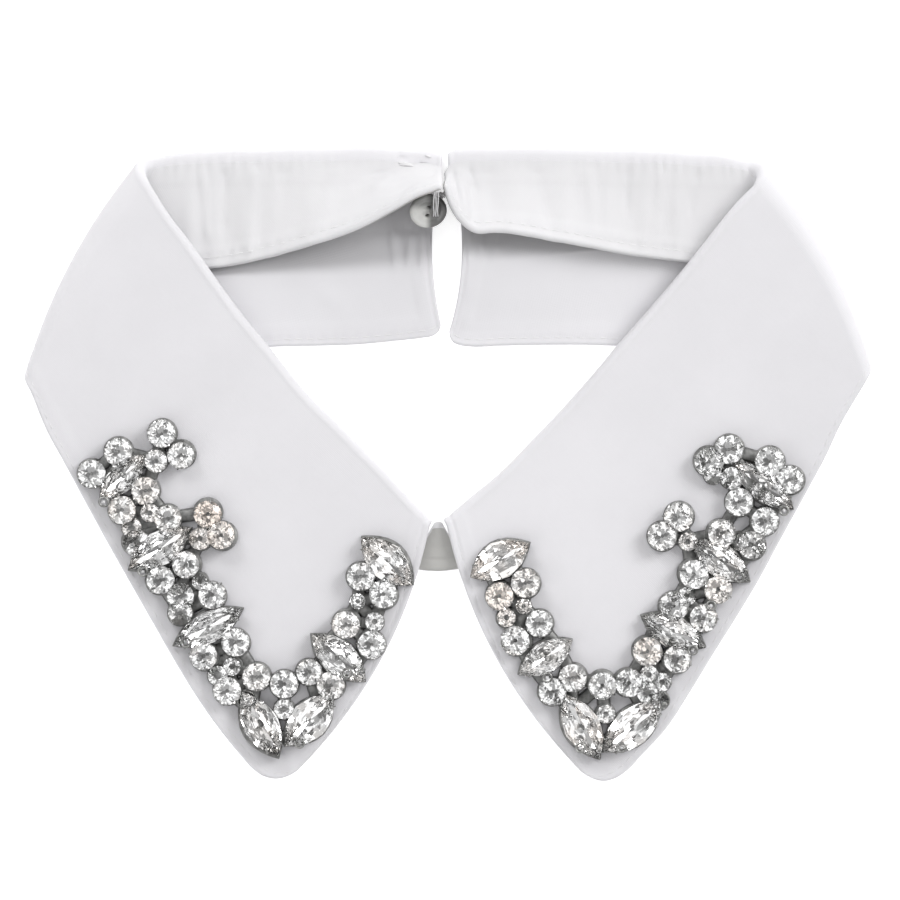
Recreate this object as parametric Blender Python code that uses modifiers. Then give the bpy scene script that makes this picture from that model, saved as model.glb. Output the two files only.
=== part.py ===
"""Detachable shirt collar, laid flat with its front up and buttoned at the centre back.

Two pointed leaves fold over one stand. Each leaf runs from the centre front round
the side crease to the centre back, and carries a sewn-on trim of crystals.
Frame: +X to the right of the collar as laid, +Y to its back, +Z up, with the origin
on the table under the middle. Tables are in millimetres and the mesh is in metres.
"""

import math

import bmesh
import bpy
import numpy as np
from mathutils import Matrix, Vector
from mathutils.bvhtree import BVHTree

MM = 0.001

# Cloth
WALL = 1.4  # two plies of shirting with an interlining
SEAM_GAP = 0.3
FOLD_RADIUS = 1.25  # middle of the wall, where a leaf rolls over to the stand
LEAST_SEAM_SLANT = 0.5
SEAM_EASE = 1.0  # more gap where the stand turns round the crease or lifts off
HIGHEST_LIFT = 14.5
SEAM_FROM_ROLL = 1.85  # how far the leaf runs on past its roll, to the stand's seam
CREASE_RADIUS_AT_FOLD = 4.6  # side crease, middle of the leaf's wall
CREASE_RADIUS_AT_EDGE = 2.8
CREASE_TURN_STEPS = 8
CREASE_BOW = 3.1  # how far the side crease bows out in the middle
FOLD_SLANT = 0.51  # cotangent of the angle between crease and fold line
EDGE_SLANT = 0.70  # and between crease and outer edge
LEAST_SLANT = 0.85  # of a section to the fold line, where the fold is set back from it
LONGEST_STEP = 9.0  # between the finished sections
ROLL_STEPS = 4
LEAF_STEPS = (0.0, 0.14, 0.34, 0.56, 0.78, 1.0)
STAND_STEPS = (0.0, 0.1, 0.26, 0.5, 0.76, 1.0)
LIFT_POWER = 1.9  # how the stand curves up from its seam
RIPPLE_SPAN = 0.8  # share of a half wave that a ripple follows across the stand
FACE_UP = 0.9  # a section whose inner face looks up at least this much takes ripples

# Sections of the leaves, from the front edge to the side crease and from the crease to
# the centre back. Columns: fold line x, y, z; outer edge x, y, z; how far the section
# bows; reach of the stand's lower edge from the fold; lift of that edge off the leaf.
LEFT_FRONT = (
    (-3.8, -14.3, 4.8, -38.4, -78.3, 0.7, 5.3, 14.0, 0.0),
    (-4.4, -14.1, 4.8, -41.2, -80.0, 0.7, 5.0, 14.2, 0.0),
    (-5.1, -13.6, 4.8, -44.3, -80.6, 0.7, 4.6, 14.6, 0.0),
    (-6.1, -12.5, 4.8, -47.1, -80.0, 0.7, 4.2, 15.2, 0.0),
    (-7.4, -11.3, 4.8, -49.7, -78.3, 0.7, 3.7, 15.8, 0.0),
    (-10.2, -8.4, 4.8, -53.2, -74.5, 0.7, 3.2, 17.5, 0.0),
    (-16.6, -1.5, 4.9, -60.7, -65.0, 0.7, 2.0, 20.5, 0.0),
    (-27.9, 10.0, 5.0, -69.4, -51.5, 0.7, 0.6, 24.0, 0.0),
    (-35.8, 17.7, 5.2, -75.0, -41.7, 0.7, 0.1, 26.5, 0.0),
    (-45.6, 29.7, 5.7, -82.4, -28.7, 0.8, 0.0, 29.0, 0.0),
    (-51.5, 36.9, 6.2, -87.0, -20.5, 1.0, 0.0, 30.5, 0.0),
    (-59.6, 47.9, 7.4, -93.4, -8.7, 1.9, -0.3, 32.0, 0.0),
    (-65.5, 56.1, 8.2, -98.3, 0.5, 3.1, -0.9, 33.0, 0.0),
    (-71.7, 64.3, 9.1, -102.7, 8.7, 4.6, -1.8, 33.5, 0.0),
)
LEFT_BACK = (
    (-68.6, 79.7, 0.7, -94.2, 24.3, 0.7, -1.5, 33.5, 0.0),
    (-62.2, 80.1, 0.7, -82.7, 25.7, 0.7, -0.5, 32.8, 0.0),
    (-54.5, 80.5, 0.7, -69.9, 27.2, 0.7, 0.0, 32.0, 0.0),
    (-46.8, 80.6, 0.7, -57.9, 28.5, 0.7, 0.0, 30.2, 1.0),
    (-37.9, 80.9, 0.7, -45.1, 30.0, 0.7, 0.0, 27.3, 4.0),
    (-30.2, 80.9, 0.7, -33.3, 30.3, 0.7, 0.0, 24.2, 7.0),
    (-22.0, 81.2, 0.7, -22.5, 30.7, 0.7, 0.0, 20.8, 10.0),
    (-14.1, 80.8, 0.7, -13.1, 31.6, 0.7, -0.2, 15.8, 12.5),
    (-7.7, 80.5, 0.7, -6.9, 32.3, 0.7, -1.0, 12.0, 13.8),
    (-4.4, 80.3, 0.7, -3.8, 32.9, 0.7, -1.7, 10.6, 14.2),
    (-2.6, 79.9, 0.7, -2.4, 34.0, 0.7, -2.2, 9.6, 14.4),
    (-1.5, 79.2, 0.7, -1.8, 35.6, 0.7, -2.4, 9.2, 14.5),
)
RIGHT_FRONT = (
    (-1.3, -14.1, 4.8, 33.8, -78.3, 0.7, 5.1, 14.0, 0.0),
    (-0.8, -13.8, 4.8, 36.6, -80.3, 0.7, 4.9, 14.2, 0.0),
    (0.0, -13.3, 4.8, 39.7, -81.2, 0.7, 4.5, 14.6, 0.0),
    (1.3, -12.3, 4.8, 43.0, -80.4, 0.7, 4.1, 15.2, 0.0),
    (2.8, -11.0, 4.8, 46.1, -78.3, 0.7, 3.6, 15.8, 0.0),
    (6.1, -8.2, 4.8, 49.4, -74.8, 0.7, 3.2, 17.5, 0.0),
    (13.1, -2.4, 4.9, 55.6, -68.1, 0.7, 1.9, 20.5, 0.0),
    (21.5, 6.1, 5.0, 62.0, -58.4, 0.7, 0.8, 23.5, 0.0),
    (28.9, 13.8, 5.2, 67.3, -49.7, 0.7, 0.2, 26.5, 0.0),
    (38.9, 25.1, 5.7, 75.3, -36.9, 0.8, 0.0, 29.0, 0.0),
    (44.0, 31.2, 6.2, 79.4, -30.0, 1.0, 0.0, 30.5, 0.0),
    (51.2, 39.4, 6.9, 84.5, -20.5, 1.5, 0.0, 31.5, 0.0),
    (61.2, 51.2, 7.9, 92.2, -6.4, 2.6, -0.6, 32.5, 0.0),
    (67.3, 58.9, 8.7, 96.8, 2.3, 3.7, -1.2, 33.2, 0.0),
    (72.4, 65.3, 9.3, 100.1, 9.5, 4.8, -1.9, 33.6, 0.0),
)
RIGHT_BACK = (
    (70.1, 79.2, 0.7, 94.0, 26.2, 0.7, -1.3, 33.0, 0.0),
    (62.0, 79.7, 0.7, 81.2, 27.3, 0.7, -0.4, 31.5, 0.3),
    (51.7, 80.3, 0.7, 65.8, 28.5, 0.7, 0.0, 29.6, 1.0),
    (40.2, 80.6, 0.7, 50.4, 29.8, 0.7, 0.0, 27.7, 2.5),
    (30.0, 80.9, 0.7, 36.4, 30.5, 0.7, 0.0, 25.3, 4.5),
    (19.7, 81.0, 0.7, 23.6, 30.5, 0.7, 0.0, 23.1, 6.5),
    (12.0, 80.9, 0.7, 13.3, 30.3, 0.7, -0.3, 21.6, 7.5),
    (6.1, 80.9, 0.7, 5.6, 30.1, 0.7, -1.2, 21.3, 7.8),
    (3.6, 80.8, 0.7, 2.8, 30.5, 0.7, -2.4, 18.9, 8.2),
    (2.0, 80.6, 0.7, 1.3, 31.2, 0.7, -3.0, 16.4, 8.6),
    (0.8, 80.2, 0.7, 0.5, 32.5, 0.7, -3.2, 13.8, 9.0),
    (0.0, 79.5, 0.7, 0.3, 34.0, 0.7, -3.4, 11.2, 9.2),
)
# Side creases: corner on the fold line x, y; corner on the outer edge x, y.
LEFT_CREASE = (-79.6, 77.8, -108.3, 22.8)
RIGHT_CREASE = (81.4, 77.1, 108.3, 25.1)

# Stand between the leaves. Columns: place from the left leaf (0) to the right one (1);
# upper end, from the roll; lower end, from the roll.
NECK_FRONT = (
    (0.10, 2.2, 11.9),
    (0.20, -2.4, 11.8),
    (0.35, -2.6, 11.6),
    (0.50, -2.7, 11.6),
    (0.65, -2.6, 11.6),
    (0.80, -2.4, 11.8),
    (0.90, 2.2, 11.9),
)
# The right end of the stand reaches on past its leaf, drawn in by the loop.
END_TAB_LENGTH = 0.9
END_TAB_START = 3.2
END_TAB_REACH = 6.3
END_TAB_LIFT = 9.4

# Soft ripples in the back of the stand. Columns: place x; half width; height.
RIPPLES = (
    (-66.0, 2.2, 0.55),
    (-59.5, 1.8, 0.45),
    (-52.0, 2.4, 0.60),
    (-44.0, 2.0, 0.45),
    (-35.0, 2.6, 0.40),
    (4.0, 1.2, 0.60),
    (17.0, 2.6, 0.45),
    (30.0, 2.2, 0.50),
    (41.0, 2.0, 0.55),
    (50.5, 2.2, 0.60),
    (59.0, 2.0, 0.55),
)

# Crystals
SEAT_GAP = 0.35
SEAT_STEP = 0.06  # neighbouring stones sit this much higher or lower than each other
SEAT_LEVELS = 4
ABOVE_ALL = 60.0  # height from which a stone is dropped on to its leaf
STONE_SIDES = 8
NAVETTE_SIDES = 10
STONE_HEIGHT = 0.62  # of the diameter, claws and all
SMALL_STONE_HEIGHT = 3.2
NAVETTE_HEIGHT = 4.4
STONE_PROFILE = ((0.78, 0.0), (1.0, 0.5), (0.56, 1.0))  # share of radius, of height
LINK_WIDTH = 1.3
LINK_HEIGHT = 0.8
LINK_LIFT = 0.2  # over the seats of the stones it joins
LINK_STEP = 0.07
LINK_LEVELS = 5
NAVETTE_WAIST = 0.35  # radius of a navette's spine, as a share of its width
ROUND_WAIST = 0.5
SPINE_STEPS = (0.0, 0.25, 0.5, 0.75, 1.0)

# Columns: centre x, y; turn in degrees; length; width.
LEFT_NAVETTES = (
    (-83.2, -2.8, 45, 15.4, 7.2),
    (-73.6, -21.8, 34, 18.4, 8.4),
    (-61.4, -41.6, 28, 19.2, 7.7),
    (-48.1, -67.1, -61, 17.9, 9.0),
    (-35.6, -65.5, 46, 17.2, 9.4),
    (-28.2, -49.5, -41, 17.4, 8.7),
    (-15.4, -24.6, -43, 16.9, 9.2),
)
RIGHT_NAVETTES = (
    (80.6, -5.6, -38, 18.2, 7.7),
    (69.8, -24.7, -36, 17.2, 8.2),
    (57.6, -42.6, -26, 17.4, 8.2),
    (47.1, -67.1, 41, 18.8, 9.4),
    (34.0, -67.1, -61, 18.2, 9.0),
    (24.8, -49.2, 33, 15.4, 7.7),
    (13.4, -24.4, 30, 16.4, 9.2),
)
# Columns: centre x, y; diameter.
LEFT_ROUNDS = (
    (-73.0, 7.9, 6.9),
    (-68.1, 2.6, 6.7),
    (-74.6, 0.9, 5.6),
    (-84.2, 3.3, 6.9),
    (-91.1, -2.3, 6.9),
    (-77.3, -6.7, 6.9),
    (-83.2, -11.8, 6.9),
    (-76.3, -12.3, 4.6),
    (-80.8, -16.1, 4.9),
    (-71.7, -13.8, 6.7),
    (-79.9, -19.7, 6.7),
    (-61.4, -12.3, 6.9),
    (-57.6, -18.4, 6.9),
    (-63.2, -19.2, 5.4),
    (-66.6, -25.6, 6.7),
    (-73.7, -29.7, 6.9),
    (-63.4, -29.7, 3.8),
    (-68.4, -33.8, 6.7),
    (-60.4, -33.8, 6.9),
    (-68.4, -38.1, 6.1),
    (-62.2, -49.2, 6.9),
    (-54.3, -45.8, 6.9),
    (-54.8, -51.7, 4.4),
    (-48.9, -54.3, 6.9),
    (-56.3, -57.9, 6.9),
    (-58.9, -54.0, 4.9),
    (-51.5, -60.2, 4.6),
    (-41.9, -56.3, 6.9),
    (-41.9, -62.7, 4.9),
    (-35.6, -53.2, 6.4),
    (-30.0, -56.6, 6.9),
    (-25.9, -40.7, 6.9),
    (-19.7, -46.1, 6.9),
    (-18.9, -40.4, 4.6),
    (-22.3, -28.7, 6.9),
    (-16.4, -33.5, 6.9),
    (-23.0, -35.1, 3.8),
)
RIGHT_ROUNDS = (
    (71.9, 3.8, 7.2),
    (66.6, 0.8, 7.2),
    (82.2, 0.8, 7.2),
    (87.6, -4.1, 6.9),
    (74.5, -9.7, 6.9),
    (72.4, -3.3, 5.6),
    (67.8, -2.6, 4.6),
    (80.9, -14.6, 6.9),
    (69.6, -17.7, 6.9),
    (77.6, -21.0, 6.9),
    (59.1, -13.4, 7.2),
    (54.8, -18.4, 7.2),
    (62.5, -27.9, 7.2),
    (61.2, -19.5, 4.6),
    (74.6, -19.7, 4.6),
    (68.9, -31.6, 6.9),
    (57.6, -36.4, 7.2),
    (65.0, -39.4, 6.9),
    (60.9, -33.8, 4.6),
    (50.9, -47.6, 7.2),
    (58.4, -49.9, 6.9),
    (51.7, -53.8, 4.6),
    (54.5, -55.8, 4.6),
    (50.9, -58.4, 5.6),
    (45.8, -55.8, 6.9),
    (39.4, -56.2, 6.9),
    (40.1, -63.7, 4.6),
    (32.0, -54.5, 6.9),
    (54.1, -60.4, 4.6),
    (26.6, -58.1, 6.9),
    (17.7, -45.2, 7.2),
    (23.4, -40.7, 6.7),
    (19.2, -36.4, 3.8),
    (14.8, -39.4, 4.6),
    (13.3, -33.5, 6.9),
    (19.8, -30.5, 7.2),
)

# Centre back fastening
BUTTON_CENTRE = (-5.1, 64.8, 7.4)
BUTTON_FACE = (0.10, -0.52, 0.85)  # the way its face looks
BUTTON_DIAMETER = 9.6
BUTTON_THICKNESS = 2.4
BUTTON_RIM = 1.0
BUTTON_DISH = 0.5
BUTTON_DISH_SLOPE = 0.5
BUTTON_FACE_EDGE = (0.4, 0.6)  # rounding of its edge: in from the side, down from the face
BUTTON_BACK_EDGE = (0.9, 0.8)
BUTTON_SIDES = 24
BUTTON_HOLES = 4
BUTTON_HOLE = 1.3
BUTTON_HOLE_CIRCLE = 2.8
BUTTON_FIRST_HOLE = 45.0
BUTTON_HOLE_SIDES = 10
MERGE_WITHIN = 0.01
SHANK_DIAMETER = 1.5
LOOP_CORD = 1.1
# From the back of the button down and across to the outer face of the stand's left end.
SHANK_PATH = (
    (-5.25, 65.65, 6.0),
    (-5.3, 66.3, 4.9),
    (-5.3, 67.6, 4.2),
    (-5.2, 69.4, 4.4),
    (-5.15, 70.7, 5.1),
    (-5.1, 71.55, 5.8),
)
# From the outer face of the stand's right end round the shank and back.
LOOP_PATH = (
    (-0.7, 68.4, 7.8),
    (-1.8, 69.0, 7.6),
    (-3.4, 68.8, 7.1),
    (-5.2, 68.3, 6.7),
    (-6.6, 67.5, 6.2),
    (-7.2, 66.2, 5.4),
    (-6.6, 64.9, 4.6),
    (-5.2, 64.3, 4.3),
    (-3.7, 64.9, 4.5),
    (-2.5, 66.5, 5.2),
    (-1.6, 68.4, 5.9),
    (-0.6, 69.5, 6.2),
)


def unit(vector):
    return vector / np.linalg.norm(vector)


def wipe_scene():
    for found in list(bpy.data.objects):
        bpy.data.objects.remove(found, do_unlink=True)


def new_collection(name):
    made = bpy.data.collections.new(name)
    bpy.context.scene.collection.children.link(made)
    return made


def material(name, color, roughness, metallic=0.0):
    made = bpy.data.materials.new(name)
    made.use_nodes = True
    shader = made.node_tree.nodes["Principled BSDF"]
    shader.inputs["Base Color"].default_value = (*color, 1.0)
    shader.inputs["Roughness"].default_value = roughness
    shader.inputs["Metallic"].default_value = metallic
    made.diffuse_color = (*color, 1.0)
    return made


def add_object(name, mesh, collection, finish):
    made = bpy.data.objects.new(name, mesh)
    mesh.materials.append(finish)
    collection.objects.link(made)
    return made


def finished_copy(source):
    """The mesh of an object with its modifiers applied."""
    shape = source.evaluated_get(bpy.context.evaluated_depsgraph_get())
    return bpy.data.meshes.new_from_object(shape)


# Sections of a leaf: each row holds the roll point, the outer edge point and the bow as
# vectors, then the reach and the lift of the stand.
def panel_rows(table, hand):
    """Rows of one panel. hand is 1 for the left leaf and -1 for the right."""
    table = np.array(table)
    fold, edge = table[:, 0:3], table[:, 3:6]
    along = np.gradient(fold[:, :2], axis=0)
    rows = []
    for i in range(len(table)):
        way = unit((edge[i] - fold[i])[:2])
        course = unit(along[i])
        slant = max(LEAST_SLANT, abs(course[0] * way[1] - course[1] * way[0]))
        inset = FOLD_RADIUS + WALL / 2 / slant
        roll = fold[i] + np.array([*(way * inset), 0.0])
        bow = hand * table[i, 6] * np.array([-way[1], way[0], 0.0])
        reach = table[i, 7] - inset
        rows.append(np.concatenate([roll, edge[i], bow, [reach, table[i, 8]]]))
    return rows


def crease_rows(corners, hand, reach):
    """Rows round the side crease, from the top of its turn to the bottom."""
    fold, edge = np.array(corners[:2]), np.array(corners[2:])
    way = unit(edge - fold)
    out = hand * np.array([way[1], -way[0]])
    inset = FOLD_RADIUS + WALL / 2
    rows = []
    for step in range(CREASE_TURN_STEPS + 1):
        turn = math.pi * step / CREASE_TURN_STEPS
        ends = []
        for corner, radius, slant in (
            (fold + way * inset, CREASE_RADIUS_AT_FOLD, FOLD_SLANT),
            (edge, CREASE_RADIUS_AT_EDGE, EDGE_SLANT),
        ):
            axis = corner - out * (radius + WALL / 2)
            place = axis + out * radius * math.sin(turn)
            place = place + way * slant * radius * (math.pi / 2 - turn)
            height = WALL / 2 + radius * (1 + math.cos(turn))
            ends.append(np.array([*place, height]))
        bow = np.array([*(out * CREASE_BOW), 0.0])
        rows.append(np.concatenate([*ends, bow, [reach, 0.0]]))
    return rows


def smooth_rows(rows):
    """Rows no further apart than LONGEST_STEP, on smooth curves through those given."""
    rows = np.array(rows)
    gaps = np.diff(rows, axis=0)
    lengths = np.maximum(
        np.linalg.norm(gaps[:, 0:3], axis=1), np.linalg.norm(gaps[:, 3:6], axis=1)
    )
    slopes = gaps / lengths[:, None]
    tangents = np.empty_like(rows)
    tangents[0], tangents[-1] = slopes[0], slopes[-1]
    before, after = lengths[:-1, None], lengths[1:, None]
    tangents[1:-1] = (slopes[:-1] * after + slopes[1:] * before) / (before + after)
    fine = [rows[0]]
    for i, length in enumerate(lengths):
        count = math.ceil(length / LONGEST_STEP)
        for k in range(1, count + 1):
            s = k / count
            start = rows[i] * (2 * s**3 - 3 * s**2 + 1) + rows[i + 1] * (3 * s**2 - 2 * s**3)
            bend = tangents[i] * (s**3 - 2 * s**2 + s) + tangents[i + 1] * (s**3 - s**2)
            fine.append(start + bend * length)
    return fine


def leaf_sections(front, crease, back, hand):
    """Every section of one leaf, with its frame: roll point, way out, way in."""
    front_rows = panel_rows(front, hand)
    back_rows = panel_rows(back, hand)
    turn = crease_rows(corners=crease, hand=hand, reach=front_rows[-1][9])
    rows = smooth_rows([*front_rows, turn[0]])
    rows += turn[1:-1]
    rows += smooth_rows([turn[-1], *back_rows])
    rolls = np.array([row[0:3] for row in rows])
    along = np.gradient(rolls, axis=0)
    sections = []
    for row, course in zip(rows, along):
        way = unit(row[3:6] - row[0:3])
        inner = unit(np.cross(way, course)) * hand
        sections.append((row, way, inner))
    return sections


def leaf_points(section):
    """Points across one leaf section, from its seam round the roll to its outer edge."""
    row, way, inner = section
    roll, edge, bow = row[0:3], row[3:6], row[6:9]
    centre = roll + inner * FOLD_RADIUS
    points = [roll + inner * 2 * FOLD_RADIUS + way * SEAM_FROM_ROLL]
    for step in range(ROLL_STEPS):
        turn = math.pi * (1 - step / ROLL_STEPS)
        arm = inner * math.cos(turn) + way * math.sin(turn)
        points.append(centre - FOLD_RADIUS * arm)
    for u in LEAF_STEPS:
        points.append(roll + (edge - roll) * u + bow * 4 * u * (1 - u))
    return points


def stand_starts(sections):
    """Where the stand begins in each section: a seam gap past the end of the leaf."""
    seams = np.array([row[0:3] + inner * 2 * FOLD_RADIUS for row, _, inner in sections])
    starts = []
    for (row, way, inner), course in zip(sections, np.gradient(seams, axis=0)):
        slant = max(LEAST_SEAM_SLANT, np.linalg.norm(np.cross(way, unit(course))))
        turned = SEAM_EASE * (1 - inner[2] ** 2 + row[10] / HIGHEST_LIFT)
        starts.append(SEAM_FROM_ROLL + SEAM_GAP / slant**2 + turned)
    return starts


def stand_points(section, start, reach, lift):
    """Points across one stand section, from its upper edge to its lower one."""
    row, way, inner = section
    seam = row[0:3] + inner * 2 * FOLD_RADIUS
    points = []
    for u in STAND_STEPS:
        rise = lift * u**LIFT_POWER
        place = seam + way * (start + (reach - start) * u) + inner * rise
        points.append(place + inner * ripple(place, inner) * math.sin(math.pi * u * RIPPLE_SPAN))
    return points


def ripple(place, inner):
    """Height of the soft ripples where the stand lies with its inner face up."""
    if inner[2] < FACE_UP:
        return 0.0
    heights = (high * math.exp(-(((place[0] - x) / half) ** 2)) for x, half, high in RIPPLES)
    return sum(heights)


def neck_front_points(left, right):
    """Stand sections across the gap between the two leaves."""
    (left_row, left_way, left_inner), (right_row, right_way, right_inner) = left, right
    left_turn = math.atan2(left_way[0], -left_way[1])
    right_turn = math.atan2(right_way[0], -right_way[1])
    strips = []
    for share, start, reach in NECK_FRONT:
        turn = left_turn + (right_turn - left_turn) * share
        slope = left_way[2] + (right_way[2] - left_way[2]) * share
        way = unit(np.array([math.sin(turn), -math.cos(turn), slope]))
        inner = unit(left_inner + (right_inner - left_inner) * share)
        row = left_row + (right_row - left_row) * share
        strips.append(stand_points((row, way, inner), start, reach, 0.0))
    return strips


def stand_strips(left, right):
    """Every section of the stand, from the left back end round to the right one."""
    halves = []
    for half in (left, right):
        starts = stand_starts(half)
        halves.append([stand_points(s, a, s[0][9], s[0][10]) for s, a in zip(half, starts)])
    strips = [*reversed(halves[0]), *neck_front_points(left[0], right[0]), *halves[1]]
    row, way, inner = right[-1]
    tab = row.copy()
    tab[0] -= END_TAB_LENGTH
    strips.append(stand_points((tab, way, inner), END_TAB_START, END_TAB_REACH, END_TAB_LIFT))
    return strips


def cloth(name, strips, collection, finish):
    """A wall of cloth through strips of points."""
    mesh = bpy.data.meshes.new(name)
    wide = len(strips[0])
    points = [Vector(p) * MM for strip in strips for p in strip]
    faces = []
    for i in range(len(strips) - 1):
        for j in range(wide - 1):
            a = i * wide + j
            faces.append((a, a + 1, a + wide + 1, a + wide))
    mesh.from_pydata(points, [], faces)
    mesh.shade_smooth()
    made = add_object(name, mesh, collection, finish)
    wall = made.modifiers.new("Wall", "SOLIDIFY")
    wall.thickness = WALL * MM
    wall.offset = 0.0
    wall.use_even_offset = True
    flat = made.modifiers.new("Flat faces", "TRIANGULATE")
    flat.quad_method = "SHORTEST_DIAGONAL"
    return made


def round_outline(radius):
    step = 2 * math.pi / STONE_SIDES
    return [
        (radius * math.cos((k + 0.5) * step), radius * math.sin((k + 0.5) * step))
        for k in range(STONE_SIDES)
    ]


def navette_outline(length, width):
    """A pointed oval: two arcs that meet in points."""
    half = NAVETTE_SIDES // 2
    points = []
    for side in (1, -1):
        for k in range(half):
            u = k / half * 2 - 1
            points.append((side * u * length / 2, -side * (1 - u * u) * width / 2))
    return points


def faceted_solid(outline, height, seat):
    """A stone in its cup, standing on its seat: narrow foot, wide girdle, small table."""
    shape = bmesh.new()
    share, _ = STONE_PROFILE[0]
    ring = [shape.verts.new((x * share, y * share, 0.0)) for x, y in outline]
    rings = [ring]
    for share, level in STONE_PROFILE[1:]:
        rings.append([shape.verts.new((x * share, y * share, level * height)) for x, y in outline])
    shape.faces.new(reversed(rings[0]))
    shape.faces.new(rings[-1])
    count = len(outline)
    for low, high in zip(rings, rings[1:]):
        for k in range(count):
            n = (k + 1) % count
            shape.faces.new((low[k], low[n], high[n], high[k]))
    bmesh.ops.transform(shape, matrix=seat, verts=shape.verts)
    return shape


def link_solid(start, end, lift):
    """A low bar of the setting between two neighbouring stones."""
    run = end - start
    shape = bmesh.new()
    bmesh.ops.create_cube(shape, size=1.0)
    size = Matrix.Diagonal((run.length, LINK_WIDTH, LINK_HEIGHT, 1.0))
    middle = (start + end) / 2 + Vector((0.0, 0.0, lift + LINK_HEIGHT / 2))
    turn = run.to_track_quat("X", "Z").to_matrix().to_4x4()
    bmesh.ops.transform(shape, matrix=Matrix.Translation(middle) @ turn @ size, verts=shape.verts)
    return shape


def seat_on(surface, x, y, turn, lift):
    """The place and tilt of a stone that sits on the leaf at x, y."""
    hit, normal, _, _ = surface.ray_cast(Vector((x, y, ABOVE_ALL)) * MM, Vector((0.0, 0.0, -1.0)))
    up = normal.normalized()
    lie = Vector((0.0, 0.0, 1.0)).rotation_difference(up).to_matrix().to_4x4()
    spin = Matrix.Rotation(math.radians(turn), 4, "Z")
    return Matrix.Translation(hit / MM + up * lift) @ lie @ spin


def stone_gap(a, b):
    """Clear distance between two stones, each a row of spine ends and radius."""
    (a_start, a_end, a_radius), (b_start, b_end, b_radius) = a, b
    best = None
    for u in SPINE_STEPS:
        p = a_start.lerp(a_end, u)
        for v in SPINE_STEPS:
            q = b_start.lerp(b_end, v)
            gap = (p - q).length - a_radius - b_radius
            if best is None or gap < best[0]:
                best = (gap, p, q)
    return best


def nearest_links(spines):
    """Links that join every stone to the rest by the shortest gaps."""
    joined, waiting = [0], list(range(1, len(spines)))
    links = []
    while waiting:
        found = []
        for i in joined:
            for j in waiting:
                found.append((*stone_gap(spines[i], spines[j]), j))
        _, start, end, j = min(found, key=lambda row: row[0])
        links.append((start, end))
        joined.append(j)
        waiting.remove(j)
    return links


def trim(name, leaf, navettes, rounds, collections, finish):
    """The crystals of one leaf, linked into a single setting."""
    parts, cutters = collections
    mesh = finished_copy(leaf)
    shape = bmesh.new()
    shape.from_mesh(mesh)
    surface = BVHTree.FromBMesh(shape)
    shape.free()
    bpy.data.meshes.remove(mesh)
    solids, spines = [], []
    stones = [(x, y, turn, length, width) for x, y, turn, length, width in navettes]
    stones += [(x, y, 0, wide, wide) for x, y, wide in rounds]
    for k, (x, y, turn, length, width) in enumerate(stones):
        seat = seat_on(surface, x, y, turn, SEAT_GAP + SEAT_STEP * (k % SEAT_LEVELS))
        if length > width:
            solids.append(faceted_solid(navette_outline(length, width), NAVETTE_HEIGHT, seat))
        else:
            height = max(SMALL_STONE_HEIGHT, STONE_HEIGHT * width)
            solids.append(faceted_solid(round_outline(width / 2), height, seat))
        reach = max(length - width, 0.0) / 2
        ends = [seat @ Vector((side * reach, 0.0, 0.0)) for side in (-1, 1)]
        spines.append((*ends, width * (NAVETTE_WAIST if reach else ROUND_WAIST)))
    for k, (start, end) in enumerate(nearest_links(spines)):
        solids.append(link_solid(start, end, LINK_LIFT + LINK_STEP * (k % LINK_LEVELS)))
    joined = None
    group = bpy.data.collections.new(f"{name} stones")
    for k, solid in enumerate(solids):
        part = bpy.data.meshes.new(f"{name} stone {k}")
        bmesh.ops.scale(solid, vec=(MM, MM, MM), verts=solid.verts)
        solid.to_mesh(part)
        solid.free()
        if joined is None:
            joined = add_object(name, part, parts, finish)
            continue
        other = bpy.data.objects.new(part.name, part)
        other.hide_render = True
        other.display_type = "WIRE"
        group.objects.link(other)
    cutters.children.link(group)
    join = joined.modifiers.new("Join stones", "BOOLEAN")
    join.operation = "UNION"
    join.operand_type = "COLLECTION"
    join.collection = group
    flat = joined.modifiers.new("Flat faces", "TRIANGULATE")
    flat.quad_method = "SHORTEST_DIAGONAL"
    return joined


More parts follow.
